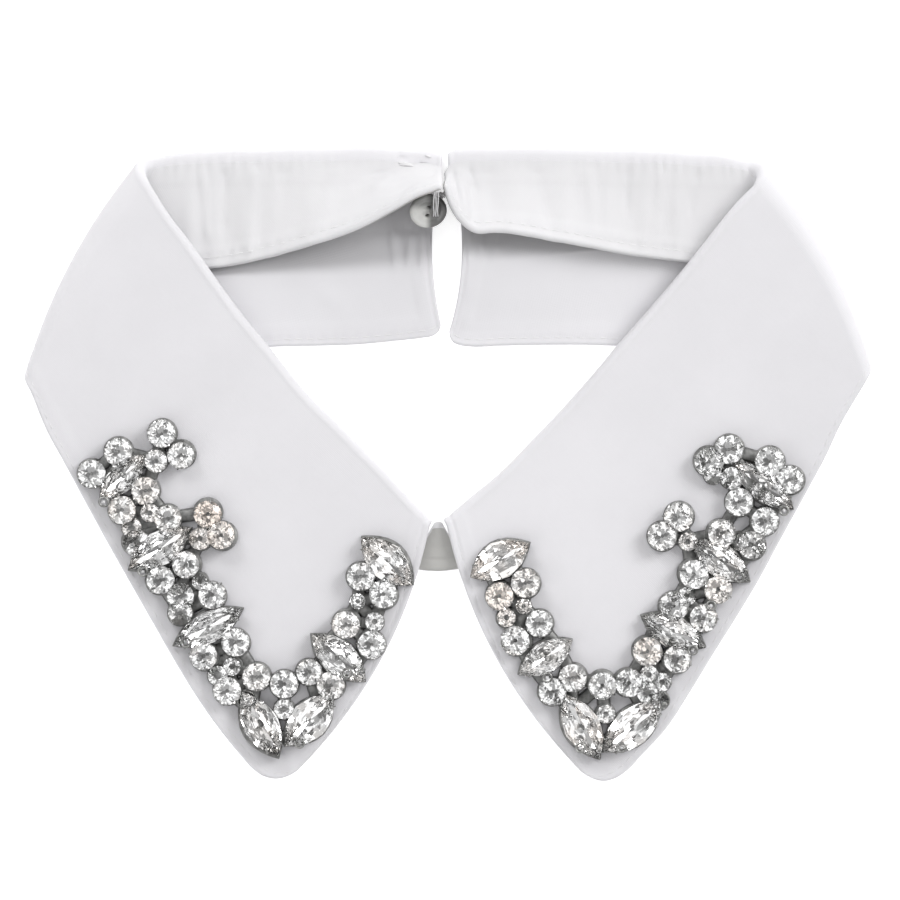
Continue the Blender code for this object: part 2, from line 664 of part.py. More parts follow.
def button(collections, finish):
    """A turned button with a dished face and four holes."""
    parts, cutters = collections
    radius = BUTTON_DIAMETER / 2
    low, high = -BUTTON_THICKNESS / 2, BUTTON_THICKNESS / 2
    profile = (
        (0.0, high - BUTTON_DISH),
        (radius - BUTTON_RIM - BUTTON_DISH_SLOPE, high - BUTTON_DISH),
        (radius - BUTTON_RIM, high),
        (radius - BUTTON_FACE_EDGE[0], high),
        (radius, high - BUTTON_FACE_EDGE[1]),
        (radius, low + BUTTON_BACK_EDGE[1]),
        (radius - BUTTON_BACK_EDGE[0], low),
        (0.0, low),
    )
    mesh = bpy.data.meshes.new("button")
    points = [(x * MM, 0.0, z * MM) for x, z in profile]
    mesh.from_pydata(points, [(k, k + 1) for k in range(len(points) - 1)], [])
    made = add_object("button", mesh, parts, finish)
    turn = made.modifiers.new("Turn", "SCREW")
    turn.steps = turn.render_steps = BUTTON_SIDES
    turn.use_merge_vertices = True
    turn.merge_threshold = MERGE_WITHIN * MM
    lie = Vector((0.0, 0.0, 1.0)).rotation_difference(Vector(BUTTON_FACE))
    made.matrix_world = Matrix.Translation(Vector(BUTTON_CENTRE) * MM) @ lie.to_matrix().to_4x4()
    for k in range(BUTTON_HOLES):
        angle = math.radians(BUTTON_FIRST_HOLE) + 2 * math.pi * k / BUTTON_HOLES
        reach = BUTTON_HOLE_CIRCLE / 2
        drill = bmesh.new()
        bmesh.ops.create_cone(
            drill,
            cap_ends=True,
            segments=BUTTON_HOLE_SIDES,
            radius1=BUTTON_HOLE / 2 * MM,
            radius2=BUTTON_HOLE / 2 * MM,
            depth=3 * BUTTON_THICKNESS * MM,
        )
        cut = bpy.data.meshes.new(f"button hole {k}")
        drill.to_mesh(cut)
        drill.free()
        cutter = bpy.data.objects.new(cut.name, cut)
        cutter.hide_render = True
        cutter.display_type = "WIRE"
        cutters.objects.link(cutter)
        place = Vector((reach * math.cos(angle), reach * math.sin(angle), 0.0)) * MM
        cutter.matrix_world = made.matrix_world @ Matrix.Translation(place)
        hole = made.modifiers.new(f"Hole {k}", "BOOLEAN")
        hole.operation = "DIFFERENCE"
        hole.object = cutter
    return made


def cord(name, points, diameter, collection, finish):
    """A thread or cord through the given points."""
    curve = bpy.data.curves.new(name, "CURVE")
    curve.dimensions = "3D"
    curve.bevel_depth = diameter / 2 * MM
    curve.bevel_resolution = 2
    curve.use_fill_caps = True
    line = curve.splines.new("POLY")
    line.points.add(len(points) - 1)
    for knot, place in zip(line.points, points):
        knot.co = (*(Vector(place) * MM), 1.0)
    made = bpy.data.objects.new(name, curve)
    curve.materials.append(finish)
    collection.objects.link(made)
    return made


def build():
    wipe_scene()
    parts = new_collection("Detachable shirt collar")
    cutters = new_collection("Cutters")
    shirting = material("White shirting", (0.86, 0.86, 0.88), 0.85)
    crystal = material("Crystal in silver cups", (0.72, 0.72, 0.74), 0.15, 0.7)
    button_white = material("White button", (0.80, 0.80, 0.78), 0.3)
    thread = material("White thread", (0.84, 0.84, 0.83), 0.8)

    left = leaf_sections(LEFT_FRONT, LEFT_CREASE, LEFT_BACK, 1)
    right = leaf_sections(RIGHT_FRONT, RIGHT_CREASE, RIGHT_BACK, -1)
    left_leaf = cloth("leaf_left", [leaf_points(s) for s in left], parts, shirting)
    right_leaf = cloth("leaf_right", [leaf_points(s) for s in right], parts, shirting)
    cloth("stand", stand_strips(left, right), parts, shirting)

    both = (parts, cutters)
    bpy.context.view_layer.update()
    trim("trim_left", left_leaf, LEFT_NAVETTES, LEFT_ROUNDS, both, crystal)
    trim("trim_right", right_leaf, RIGHT_NAVETTES, RIGHT_ROUNDS, both, crystal)
    button(both, button_white)
    cord("button_shank", SHANK_PATH, SHANK_DIAMETER, parts, thread)
    cord("button_loop", LOOP_PATH, LOOP_CORD, parts, thread)


build()
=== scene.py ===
"""Looks of the detachable shirt collar: cloth, stitching, crystals, button, floor and light.

The cloth of each leaf and of the stand is built again on the solids' own sections, with
finer steps, rounded edges, seams and gathers. The crystals are cut stones in silver cups.
Tables and sizes are in millimetres; the meshes are in metres.
"""

import math

import bpy
import numpy as np
from mathutils import Matrix, Vector
from mathutils.bvhtree import BVHTree


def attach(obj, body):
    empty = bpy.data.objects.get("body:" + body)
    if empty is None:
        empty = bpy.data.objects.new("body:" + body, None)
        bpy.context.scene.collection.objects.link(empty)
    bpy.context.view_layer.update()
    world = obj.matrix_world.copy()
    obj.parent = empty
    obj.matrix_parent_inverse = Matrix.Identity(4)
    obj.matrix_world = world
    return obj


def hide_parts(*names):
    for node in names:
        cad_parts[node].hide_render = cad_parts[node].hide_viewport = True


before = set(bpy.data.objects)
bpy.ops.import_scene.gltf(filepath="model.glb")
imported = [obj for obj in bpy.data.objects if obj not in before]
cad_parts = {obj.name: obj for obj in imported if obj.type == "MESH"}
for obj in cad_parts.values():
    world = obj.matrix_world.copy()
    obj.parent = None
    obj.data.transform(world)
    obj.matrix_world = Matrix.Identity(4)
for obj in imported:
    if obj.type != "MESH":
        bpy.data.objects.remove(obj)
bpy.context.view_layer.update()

MM = 0.001

# Cloth
WALL = 1.4  # two plies of shirting with an interlining
SEAM_GAP = -0.35  # the stand is tucked into the leaf; the solids leave a gap
SEAM_RISE = 0.03  # how much thicker the stand is there
SEAM_LAP = 0.7
LEAF_SEAM_THIN = 0.12  # and how much thinner the leaf's sewn end is
SEAM_CALM = 3.0  # creases of the stand fade out this near its seam
FOLD_RADIUS = 1.25  # middle of the wall, where a leaf rolls over to the stand
LEAST_SEAM_SLANT = 0.5
SEAM_FROM_ROLL = 1.85  # how far the leaf runs on past its roll, to the stand's seam
CREASE_RADIUS_AT_FOLD = 4.6  # side crease, middle of the leaf's wall
CREASE_RADIUS_AT_EDGE = 2.8
CREASE_BOW = 3.1  # how far the side crease bows out in the middle
FOLD_SLANT = 0.51  # cotangent of the angle between crease and fold line
EDGE_SLANT = 0.70  # and between crease and outer edge
LEAST_SLANT = 0.85  # of a section to the fold line, where the fold is set back from it
LIFT_POWER = 1.9  # how the stand curves up from its seam
RIPPLE_SPAN = 0.8  # share of a half wave that a ripple follows across the stand
FACE_UP = 0.9  # a section whose inner face looks up at least this much takes ripples

# Sections of the leaves, from the front edge to the side crease and from the crease to
# the centre back. Columns: fold line x, y, z; outer edge x, y, z; how far the section
# bows; reach of the stand's lower edge from the fold; lift of that edge off the leaf.
LEFT_FRONT = (
    (-3.8, -14.3, 4.8, -38.4, -78.3, 0.7, 5.3, 14.0, 0.0),
    (-4.4, -14.1, 4.8, -41.2, -80.0, 0.7, 5.0, 14.2, 0.0),
    (-5.1, -13.6, 4.8, -44.3, -80.6, 0.7, 4.6, 14.6, 0.0),
    (-6.1, -12.5, 4.8, -47.1, -80.0, 0.7, 4.2, 15.2, 0.0),
    (-7.4, -11.3, 4.8, -49.7, -78.3, 0.7, 3.7, 15.8, 0.0),
    (-10.2, -8.4, 4.8, -53.2, -74.5, 0.7, 3.2, 17.5, 0.0),
    (-16.6, -1.5, 4.9, -60.7, -65.0, 0.7, 2.0, 20.5, 0.0),
    (-27.9, 10.0, 5.0, -69.4, -51.5, 0.7, 0.6, 24.0, 0.0),
    (-35.8, 17.7, 5.2, -75.0, -41.7, 0.7, 0.1, 26.5, 0.0),
    (-45.6, 29.7, 5.7, -82.4, -28.7, 0.8, 0.0, 29.0, 0.0),
    (-51.5, 36.9, 6.2, -87.0, -20.5, 1.0, 0.0, 30.5, 0.0),
    (-59.6, 47.9, 7.4, -93.4, -8.7, 1.9, -0.3, 32.0, 0.0),
    (-65.5, 56.1, 8.2, -98.3, 0.5, 3.1, -0.9, 33.0, 0.0),
    (-71.7, 64.3, 9.1, -102.7, 8.7, 4.6, -1.8, 33.5, 0.0),
)
LEFT_BACK = (
    (-68.6, 79.7, 0.7, -94.2, 24.3, 0.7, -1.5, 33.5, 0.0),
    (-62.2, 80.1, 0.7, -82.7, 25.7, 0.7, -0.5, 32.8, 0.0),
    (-54.5, 80.5, 0.7, -69.9, 27.2, 0.7, 0.0, 32.0, 0.0),
    (-46.8, 80.6, 0.7, -57.9, 28.5, 0.7, 0.0, 30.2, 1.0),
    (-37.9, 80.9, 0.7, -45.1, 30.0, 0.7, 0.0, 27.3, 4.0),
    (-30.2, 80.9, 0.7, -33.3, 30.3, 0.7, 0.0, 24.2, 7.0),
    (-22.0, 81.2, 0.7, -22.5, 30.7, 0.7, 0.0, 20.8, 10.0),
    (-14.1, 80.8, 0.7, -13.1, 31.6, 0.7, -0.2, 15.8, 12.5),
    (-7.7, 80.5, 0.7, -6.9, 32.3, 0.7, -1.0, 12.0, 13.8),
    (-4.4, 80.3, 0.7, -3.8, 32.9, 0.7, -1.7, 10.6, 14.2),
    (-2.6, 79.9, 0.7, -2.4, 34.0, 0.7, -2.2, 9.6, 14.4),
    (-1.5, 79.2, 0.7, -1.8, 35.6, 0.7, -2.4, 9.2, 14.5),
)
RIGHT_FRONT = (
    (-1.3, -14.1, 4.8, 33.8, -78.3, 0.7, 5.1, 14.0, 0.0),
    (-0.8, -13.8, 4.8, 36.6, -80.3, 0.7, 4.9, 14.2, 0.0),
    (0.0, -13.3, 4.8, 39.7, -81.2, 0.7, 4.5, 14.6, 0.0),
    (1.3, -12.3, 4.8, 43.0, -80.4, 0.7, 4.1, 15.2, 0.0),
    (2.8, -11.0, 4.8, 46.1, -78.3, 0.7, 3.6, 15.8, 0.0),
    (6.1, -8.2, 4.8, 49.4, -74.8, 0.7, 3.2, 17.5, 0.0),
    (13.1, -2.4, 4.9, 55.6, -68.1, 0.7, 1.9, 20.5, 0.0),
    (21.5, 6.1, 5.0, 62.0, -58.4, 0.7, 0.8, 23.5, 0.0),
    (28.9, 13.8, 5.2, 67.3, -49.7, 0.7, 0.2, 26.5, 0.0),
    (38.9, 25.1, 5.7, 75.3, -36.9, 0.8, 0.0, 29.0, 0.0),
    (44.0, 31.2, 6.2, 79.4, -30.0, 1.0, 0.0, 30.5, 0.0),
    (51.2, 39.4, 6.9, 84.5, -20.5, 1.5, 0.0, 31.5, 0.0),
    (61.2, 51.2, 7.9, 92.2, -6.4, 2.6, -0.6, 32.5, 0.0),
    (67.3, 58.9, 8.7, 96.8, 2.3, 3.7, -1.2, 33.2, 0.0),
    (72.4, 65.3, 9.3, 100.1, 9.5, 4.8, -1.9, 33.6, 0.0),
)
RIGHT_BACK = (
    (70.1, 79.2, 0.7, 94.0, 26.2, 0.7, -1.3, 33.0, 0.0),
    (62.0, 79.7, 0.7, 81.2, 27.3, 0.7, -0.4, 31.5, 0.3),
    (51.7, 80.3, 0.7, 65.8, 28.5, 0.7, 0.0, 29.6, 1.0),
    (40.2, 80.6, 0.7, 50.4, 29.8, 0.7, 0.0, 27.7, 2.5),
    (30.0, 80.9, 0.7, 36.4, 30.5, 0.7, 0.0, 25.3, 4.5),
    (19.7, 81.0, 0.7, 23.6, 30.5, 0.7, 0.0, 23.1, 6.5),
    (12.0, 80.9, 0.7, 13.3, 30.3, 0.7, -0.3, 21.6, 7.5),
    (6.1, 80.9, 0.7, 5.6, 30.1, 0.7, -1.2, 21.3, 7.8),
    (3.6, 80.8, 0.7, 2.8, 30.5, 0.7, -2.4, 18.9, 8.2),
    (2.0, 80.6, 0.7, 1.3, 31.2, 0.7, -3.0, 16.4, 8.6),
    (0.8, 80.2, 0.7, 0.5, 32.5, 0.7, -3.2, 13.8, 9.0),
    (0.0, 79.5, 0.7, 0.3, 34.0, 0.7, -3.4, 11.2, 9.2),
)
# Side creases: corner on the fold line x, y; corner on the outer edge x, y.
LEFT_CREASE = (-79.6, 77.8, -108.3, 22.8)
RIGHT_CREASE = (81.4, 77.1, 108.3, 25.1)

# Stand between the leaves. Columns: place from the left leaf (0) to the right one (1);
# upper end, from the roll; lower end, from the roll.
NECK_FRONT = (
    (0.10, 2.2, 11.9),
    (0.20, -0.8, 11.8),
    (0.35, -1.0, 11.7),
    (0.50, -1.0, 11.7),
    (0.65, -1.0, 11.7),
    (0.80, -0.8, 11.8),
    (0.90, 2.2, 11.9),
)
# The right end of the stand reaches on past its leaf, drawn in by the loop.
END_TAB_LENGTH = 0.9
END_TAB_START = 3.2
END_TAB_REACH = 6.3
END_TAB_LIFT = 9.4

# Soft ripples in the back of the stand. Columns: place x; half width; height.
RIPPLES = (
    (-66.0, 2.2, 0.55),
    (-59.5, 1.8, 0.45),
    (-52.0, 2.4, 0.60),
    (-44.0, 2.0, 0.45),
    (-35.0, 2.6, 0.40),
    (4.0, 1.2, 0.60),
    (17.0, 2.6, 0.45),
    (30.0, 2.2, 0.50),
    (41.0, 2.0, 0.55),
    (50.5, 2.2, 0.60),
    (59.0, 2.0, 0.55),
)

# Crystals
SEAT_STEP = 0.06  # neighbouring stones sit this much higher or lower than each other
SEAT_LEVELS = 4
ABOVE_ALL = 60.0  # height from which a stone is dropped on to its leaf
STONE_HEIGHT = 0.62  # of the diameter, claws and all
SMALL_STONE_HEIGHT = 3.2
NAVETTE_HEIGHT = 4.4
NAVETTE_WAIST = 0.35  # radius of a navette's spine, as a share of its width
ROUND_WAIST = 0.5
SPINE_STEPS = (0.0, 0.25, 0.5, 0.75, 1.0)

# Columns: centre x, y; turn in degrees; length; width.
LEFT_NAVETTES = (
    (-83.2, -2.8, 45, 15.4, 7.2),
    (-73.6, -21.8, 34, 18.4, 8.4),
    (-61.4, -41.6, 28, 19.2, 7.7),
    (-48.1, -67.1, -61, 17.9, 9.0),
    (-35.6, -65.5, 46, 17.2, 9.4),
    (-28.2, -49.5, -41, 17.4, 8.7),
    (-15.4, -24.6, -43, 16.9, 9.2),
)
RIGHT_NAVETTES = (
    (80.6, -5.6, -38, 18.2, 7.7),
    (69.8, -24.7, -36, 17.2, 8.2),
    (57.6, -42.6, -26, 17.4, 8.2),
    (47.1, -67.1, 41, 18.8, 9.4),
    (34.0, -67.1, -61, 18.2, 9.0),
    (24.8, -49.2, 33, 15.4, 7.7),
    (13.4, -24.4, 30, 16.4, 9.2),
)
# Columns: centre x, y; diameter.
LEFT_ROUNDS = (
    (-73.0, 7.9, 6.9),
    (-68.1, 2.6, 6.7),
    (-74.6, 0.9, 5.6),
    (-84.2, 3.3, 6.9),
    (-91.1, -2.3, 6.9),
    (-77.3, -6.7, 6.9),
    (-83.2, -11.8, 6.9),
    (-76.3, -12.3, 4.6),
    (-80.8, -16.1, 4.9),
    (-71.7, -13.8, 6.7),
    (-79.9, -19.7, 6.7),
    (-61.4, -12.3, 6.9),
    (-57.6, -18.4, 6.9),
    (-63.2, -19.2, 5.4),
    (-66.6, -25.6, 6.7),
    (-73.7, -29.7, 6.9),
    (-63.4, -29.7, 3.8),
    (-68.4, -33.8, 6.7),
    (-60.4, -33.8, 6.9),
    (-68.4, -38.1, 6.1),
    (-62.2, -49.2, 6.9),
    (-54.3, -45.8, 6.9),
    (-54.8, -51.7, 4.4),
    (-48.9, -54.3, 6.9),
    (-56.3, -57.9, 6.9),
    (-58.9, -54.0, 4.9),
    (-51.5, -60.2, 4.6),
    (-41.9, -56.3, 6.9),
    (-41.9, -62.7, 4.9),
    (-35.6, -53.2, 6.4),
    (-30.0, -56.6, 6.9),
    (-25.9, -40.7, 6.9),
    (-19.7, -46.1, 6.9),
    (-18.9, -40.4, 4.6),
    (-22.3, -28.7, 6.9),
    (-16.4, -33.5, 6.9),
    (-23.0, -35.1, 3.8),
)
RIGHT_ROUNDS = (
    (71.9, 3.8, 7.2),
    (66.6, 0.8, 7.2),
    (82.2, 0.8, 7.2),
    (87.6, -4.1, 6.9),
    (74.5, -9.7, 6.9),
    (72.4, -3.3, 5.6),
    (67.8, -2.6, 4.6),
    (80.9, -14.6, 6.9),
    (69.6, -17.7, 6.9),
    (77.6, -21.0, 6.9),
    (59.1, -13.4, 7.2),
    (54.8, -18.4, 7.2),
    (62.5, -27.9, 7.2),
    (61.2, -19.5, 4.6),
    (74.6, -19.7, 4.6),
    (68.9, -31.6, 6.9),
    (57.6, -36.4, 7.2),
    (65.0, -39.4, 6.9),
    (60.9, -33.8, 4.6),
    (50.9, -47.6, 7.2),
    (58.4, -49.9, 6.9),
    (51.7, -53.8, 4.6),
    (54.5, -55.8, 4.6),
    (50.9, -58.4, 5.6),
    (45.8, -55.8, 6.9),
    (39.4, -56.2, 6.9),
    (40.1, -63.7, 4.6),
    (32.0, -54.5, 6.9),
    (54.1, -60.4, 4.6),
    (26.6, -58.1, 6.9),
    (17.7, -45.2, 7.2),
    (23.4, -40.7, 6.7),
    (19.2, -36.4, 3.8),
    (14.8, -39.4, 4.6),
    (13.3, -33.5, 6.9),
    (19.8, -30.5, 7.2),
)

# Finer steps than the solids have
LONGEST_STEP = 0.75
CREASE_TURN_STEPS = 28
ROLL_STEPS = 10
CLOSE_TO_EDGE = (0.1, 0.3, 0.7)  # extra steps, in from a rounded edge
CLOSE_CLEAR = 1.5  # the even steps keep clear of the edge by this many times the last one
CLOSE_SHARE = 0.9  # an extra step has to fall within this share of the first even one


def steps_across(count, length):
    """Even steps from 0 to 1, with close ones beside both edges of a piece that long."""
    close = [d / length for d in CLOSE_TO_EDGE]
    clear = CLOSE_CLEAR * close[-1]
    even = [u for u in np.linspace(0.0, 1.0, count) if clear < u < 1.0 - clear]
    return (0.0, *close, *even, *(1.0 - c for c in reversed(close)), 1.0)


LEAF_STEPS = steps_across(58, 62.0)
STAND_STEPS = steps_across(34, 24.0)

# Cloth, stitched edge and seams
EDGE_HALF = 0.7  # half the thickness at the edges, where the seam allowances lie inside
FIELD_HALF = 0.55
LEAST_HALF = 0.02
ALLOWANCE = 5.0  # how far the seam allowances reach in
ALLOWANCE_FADE = 1.6
TOPSTITCH_IN = 1.9  # from the edge of a leaf to its topstitching
PAST_ROLL = 9.0  # the topstitching stops this far from the seam
STITCH_PITCH = 2.9
FIRST_STITCH = 0.87  # where a line of stitches starts
STITCH_LENGTH = 2.1
THREAD_RADIUS = 0.11
# Arch of a stitch. Columns: share of its run; height over the cloth; share of its thickness.
STITCH_ARCH = (
    (0.0, -0.14, 0.6),
    (0.12, -0.02, 1.0),
    (0.5, 0.03, 1.08),
    (0.88, -0.02, 1.0),
    (1.0, -0.14, 0.6),
)
STITCH_GROOVE = 0.20
GROOVE_WIDTH = 0.4
STAND_STITCH_IN = 3.0
STAND_ROLL = 0.42  # how much the rolled lower edge of the stand stands up
STAND_ROLL_IN = 0.85
STAND_ROLL_HALF = 0.6
STAND_GROOVE = 0.30  # the dip between the rolled edge and the stitched ridge
STAND_GROOVE_IN = 1.75
STAND_GROOVE_HALF = 0.4
SEAM_PUCKER = 0.45
BACK_FROM_Y = 70.0  # the gathered part of the leaves lies further back than this
HEM_PUCKER = 0.40
GATHER_REACH = 115.0
GATHER_DRIFT = 0.22  # how far a gather strays, as a share of the stitches' pitch
GATHER_HEIGHTS = (0.35, 1.0)
GATHER_WIDTHS = (0.2, 0.34)
SEAM_SEED = 1
HEM_SEEDS = {"left": 3, "right": 4}
FOOT_SEED = 5
LEAF_SEAM_REACH = 2.2  # how far the gathers reach in from each seam and stitch line
STAND_SEAM_REACH = 3.4
HEM_REACH = 1.5
FOOT_IN = 3.2
FOOT_REACH = 1.6
CREASE_FADE = 2.5  # half widths over which a crease runs out at its ends
CREASE_SWELL = 0.25  # how unevenly it stands up along its length
CREASE_WAVES = 7.0
POCKET_PAINTED_SHADE = 0.30  # how much darker the painted shade of the pocket inside the back fold is, where the stand's lip overhangs the leaf
POCKET_SHADE_FADE = (6.0, 0.8)  # it darkens over this far from the crease, at the centre and the side
POCKET_SHADE_START = -0.3  # it starts here, as a share of that from the crease
# The pocket's painted shade ends between these values of y, of z and of the distance from x = 0.
POCKET_SHADE_ENDS = ((66.0, 70.0), (4.6, 5.2), (60.0, 66.0))
OUTSIDE_SHADE_IN = (1.5, 0.3)  # how far the painted shade on the stand's outside keeps from its upper and lower edge

# How strong the gathers along the seam under the back fold are. Columns: place x; share.
SEAM_GATHERS = (
    (-86.0, 0.8),
    (-76.0, 1.0),
    (-52.0, 0.9),
    (-44.0, 0.45),
    (-30.0, 0.2),
    (10.0, 0.15),
    (34.0, 0.25),
    (46.0, 0.8),
    (60.0, 1.0),
    (84.0, 0.9),
)
# And along the hem of the back of each leaf and at the foot of the stand.
HEM_GATHERS = (
    (-60.0, 1.0),
    (-40.0, 1.0),
    (-16.0, 0.7),
    (-5.0, 0.3),
    (5.0, 0.2),
    (30.0, 0.2),
    (60.0, 0.25),
)
FOOT_GATHERS = (
    (-62.0, 0.4),
    (-53.0, 1.0),
    (-47.0, 0.9),
    (-41.0, 0.3),
    (-14.0, 0.5),
    (-6.0, 0.6),
    (30.0, 0.2),
    (60.0, 0.5),
)
# The pressed crease across the back of each leaf, where it stands up off the table like
# a low tent. Columns: x, y; height.
LEFT_RIDGE = (
    (-74.0, 47.0, 0.0),
    (-58.4, 48.1, 0.6),
    (-40.4, 49.2, 1.7),
    (-20.0, 49.5, 2.9),
    (-3.0, 49.5, 3.2),
)
RIGHT_RIDGE = (
    (4.0, 51.7, 3.2),
    (12.0, 51.9, 3.0),
    (22.0, 52.8, 2.2),
    (31.7, 54.0, 1.3),
    (50.0, 52.6, 0.6),
    (76.0, 50.0, 0.0),
)
# The line that the pocket's painted shade starts from, on each leaf: two points of its crease.
LEFT_POCKET_SHADE_LINE = (LEFT_RIDGE[1], LEFT_RIDGE[-1])
RIGHT_POCKET_SHADE_LINE = (RIGHT_RIDGE[0], RIGHT_RIDGE[3])
RIDGE_TO_HEM = 17.0
RIDGE_TO_FOLD = 9.0
RIDGE_ROUNDING = 0.9
# Soft creases and ridges. Columns: start x, y; end x, y; half width; height.
STAND_CREASES = (
    (-63.0, 76.0, -61.5, 60.0, 1.0, 0.60),
    (-57.0, 76.5, -57.5, 62.0, 1.2, -0.56),
    (-49.5, 76.0, -50.5, 56.0, 1.5, 0.60),
    (-42.0, 77.0, -44.5, 52.0, 1.8, -0.44),
    (-28.0, 76.0, -33.0, 60.0, 2.6, 0.50),
    (-19.0, 74.0, -9.0, 78.0, 1.2, -0.70),
    (-17.5, 71.0, -6.5, 76.0, 1.4, 0.60),
    (-12.0, 69.5, -4.0, 73.5, 1.0, -0.50),
    (1.8, 79.0, 4.2, 66.0, 0.9, 1.00),
    (4.5, 79.0, 6.5, 72.0, 0.9, -0.70),
    (10.0, 74.0, 12.0, 62.0, 2.4, -0.50),
    (23.0, 74.0, 26.5, 58.0, 2.0, -0.56),
    (36.0, 76.0, 37.5, 60.0, 1.8, 0.50),
    (46.0, 77.0, 45.5, 66.0, 1.1, -0.60),
    (55.0, 76.0, 53.5, 62.0, 1.5, 0.56),
    (64.0, 76.0, 62.0, 66.0, 1.5, -0.50),
)
# Dimples beside the bar tack, in the rolled upper edge.
DIMPLES = (
    (-11.6, 78.4, -11.0, 78.0, 0.9, -0.60),
    (-8.2, 78.0, -7.6, 77.7, 0.9, -0.60),
)
LEFT_CREASES = (
    (-34.0, 46.0, -28.0, 40.0, 2.2, 0.20),
    (-14.2, 61.0, -13.6, 52.5, 0.9, 0.75),
    (-9.6, 62.0, -10.0, 52.5, 0.8, 0.75),
    (-6.2, 60.0, -6.6, 52.0, 0.8, 0.60),
    (-6.5, 46.0, -5.0, 34.0, 1.6, 0.25),
)
RIGHT_CREASES = (
    (5.2, 62.0, 5.4, 54.0, 0.8, 0.70),
    (8.8, 61.0, 8.6, 54.5, 0.9, 0.60),
    (13.0, 60.0, 12.6, 55.0, 1.1, 0.40),
    (5.6, 48.0, 5.0, 38.0, 1.4, 0.25),
    (42.0, 49.0, 36.0, 42.0, 2.4, 0.16),
)
# Slots of the crystals and of their settings
CRYSTAL, FOIL = 0, 1
SILVER, SETTING_THREAD, DARK_PLATE = 0, 1, 2
# Crystals as they are cut, as shares of the outline and of the height
ROUND_CUT = {"facets": 6, "table": 0.54, "mid": 0.77, "girdle": 1.0, "low": 0.36,
             "top": 0.98, "belt": 0.76, "tip": 0.12}
NAVETTE_CUT = {"facets": 6, "table": 0.52, "mid": 0.78, "girdle": 1.0, "low": 0.45,
               "top": 0.94, "belt": 0.70, "tip": 0.16}
STONE_FULLNESS = 1.06  # the stones crowd each other
ROUND_CLAWS = (45.0, 135.0, 225.0, 315.0)
NAVETTE_CLAWS = (42.0, 138.0, 222.0, 318.0)
CUP_SIDES = 24
CLAW_SIZE = 0.25
SMALL_CLAW_SIZE = 0.1875
SMALL_STONE = 5.2
# A claw from the cup's wall over the girdle. Columns: share of the outline; height from
# the girdle; share of its thickness.
CLAW_BEND = ((0.97, -0.9, 1.0), (1.03, 0.05, 1.0), (1.0, 0.4, 0.95), (0.86, 0.72, 0.6))
STONE_LIFT = 0.08
STONE_TIP = 4.0  # degrees that the sewn stones lean, each its own way
SEAT_LEVELLING = 0.5  # a setting bridges small bends of the cloth
LINK_REACH = 3.4
LINK_HALF_WIDTH = 2.3
LINK_FOOT = 0.12
LINK_TALL = 0.9
LINK_WAIST = ((-0.5, 1.0), (-0.25, 0.75), (0.0, 0.75), (0.25, 0.75), (0.5, 1.0))
LINK_SECTION = ((-1, 0.15), (-0.7, 0.0), (0.7, 0.0), (1, 0.15), (0.7, 0.9), (-0.7, 0.9))
# The setting's low plate. Columns: how far it shows round a stone; height.
PLATE_PROFILE = ((0.18, 0.0), (0.3, 0.15), (0.3, 0.7), (0.15, 0.85))
PLATE_SIDES = 28
LEAST_REACH = 0.1
RING_RADIUS = 1.15
RING_WIRE = 0.30
RING_SIDES = 20
RING_WIRE_SIDES = 8
THREAD_KNOT = 0.5  # radius of the thread that shows in a sewing hole
KNOT_PROFILE = ((1.0, -1.2), (1.0, -0.35), (0.75, -0.2), (0.35, -0.1))
KNOT_SIDES = 12
HOLE_LIFT = 3.9
# Sewing holes of the pointed stones. Columns: x, y.
LEFT_HOLES = ((-88.1, -9.5), (-78.1, -27.4), (-67.1, -45.6), (-37.9, -71.2), (-25.6, -53.2))
RIGHT_HOLES = (
    (85.8, -11.6),
    (74.6, -28.9),
    (67.1, -36.1),
    (62.7, -47.6),
    (44.3, -72.4),
    (33.8, -72.4),
    (25.3, -54.5),
)

# Centre back fastening
BUTTON_CENTRE = (-5.1, 64.8, 7.4)
BUTTON_FACE = (0.10, -0.52, 0.85)
# Columns: radius, height. From the middle of the face round the rim to the back.
BUTTON_PROFILE = (
    (2.3, 0.62),
    (2.9, 0.68),
    (3.3, 0.86),
    (3.6, 1.10),
    (3.9, 1.20),
    (4.25, 1.18),
    (4.6, 0.95),
    (4.8, 0.45),
    (4.78, -0.2),
    (4.4, -0.85),
    (3.7, -1.2),
)
BUTTON_SIDES = 72
# Painted shade on the button, for the shadow of the lip and the loop: it darkens along X and along
# Y. Columns: axis; from and to; how bright it stays.
BUTTON_PAINTED_SHADE = (("X", (-6.0, -4.0), 0.25), ("Y", (64.6, 66.6), 0.4))
BUTTON_HOLE_RADIUS = 0.6
BUTTON_HOLE_TURNS = (80, 260)
BUTTON_HOLE_REACH = 1.25
BUTTON_DRILL_REACH = 2.0
BUTTON_DRILL_SIDES = 16
SHANK_PATH = (
    (-5.25, 65.65, 6.0),
    (-5.3, 66.3, 4.9),
    (-5.3, 67.6, 4.2),
    (-5.2, 69.4, 4.4),
    (-5.15, 70.7, 5.1),
    (-5.1, 71.55, 5.8),
)
LOOP_PATH = (
    (-0.7, 68.4, 7.8),
    (-1.8, 69.0, 7.6),
    (-3.4, 68.8, 7.1),
    (-5.2, 68.3, 6.7),
    (-6.6, 67.5, 6.2),
    (-7.2, 66.2, 5.4),
    (-6.6, 64.9, 4.6),
    (-5.2, 64.3, 4.3),
    (-3.7, 64.9, 4.5),
    (-2.5, 66.5, 5.2),
    (-1.6, 68.4, 5.9),
    (-0.6, 69.5, 6.2),
)
# Thread strands of the loop, from the stand's edge down over the button. Columns: x, y, z.
STRAND_PATH = (
    (-3.0, 70.6, 16.2),
    (-3.0, 69.0, 14.0),
    (-3.05, 67.0, 11.6),
    (-3.1, 65.2, 9.6),
    (-3.1, 64.0, 8.2),
    (-3.1, 63.3, 6.8),
)
STRANDS = (-0.55, 0.0, 0.5)  # how far beside the middle one each lies
STRAND_RADIUS = 0.17
STRAND_WAVE = 0.06
STRAND_TURN = 0.45  # radians of the wave at each step along a strand
STRAND_SHIFT = 2.1  # and from one strand to the next
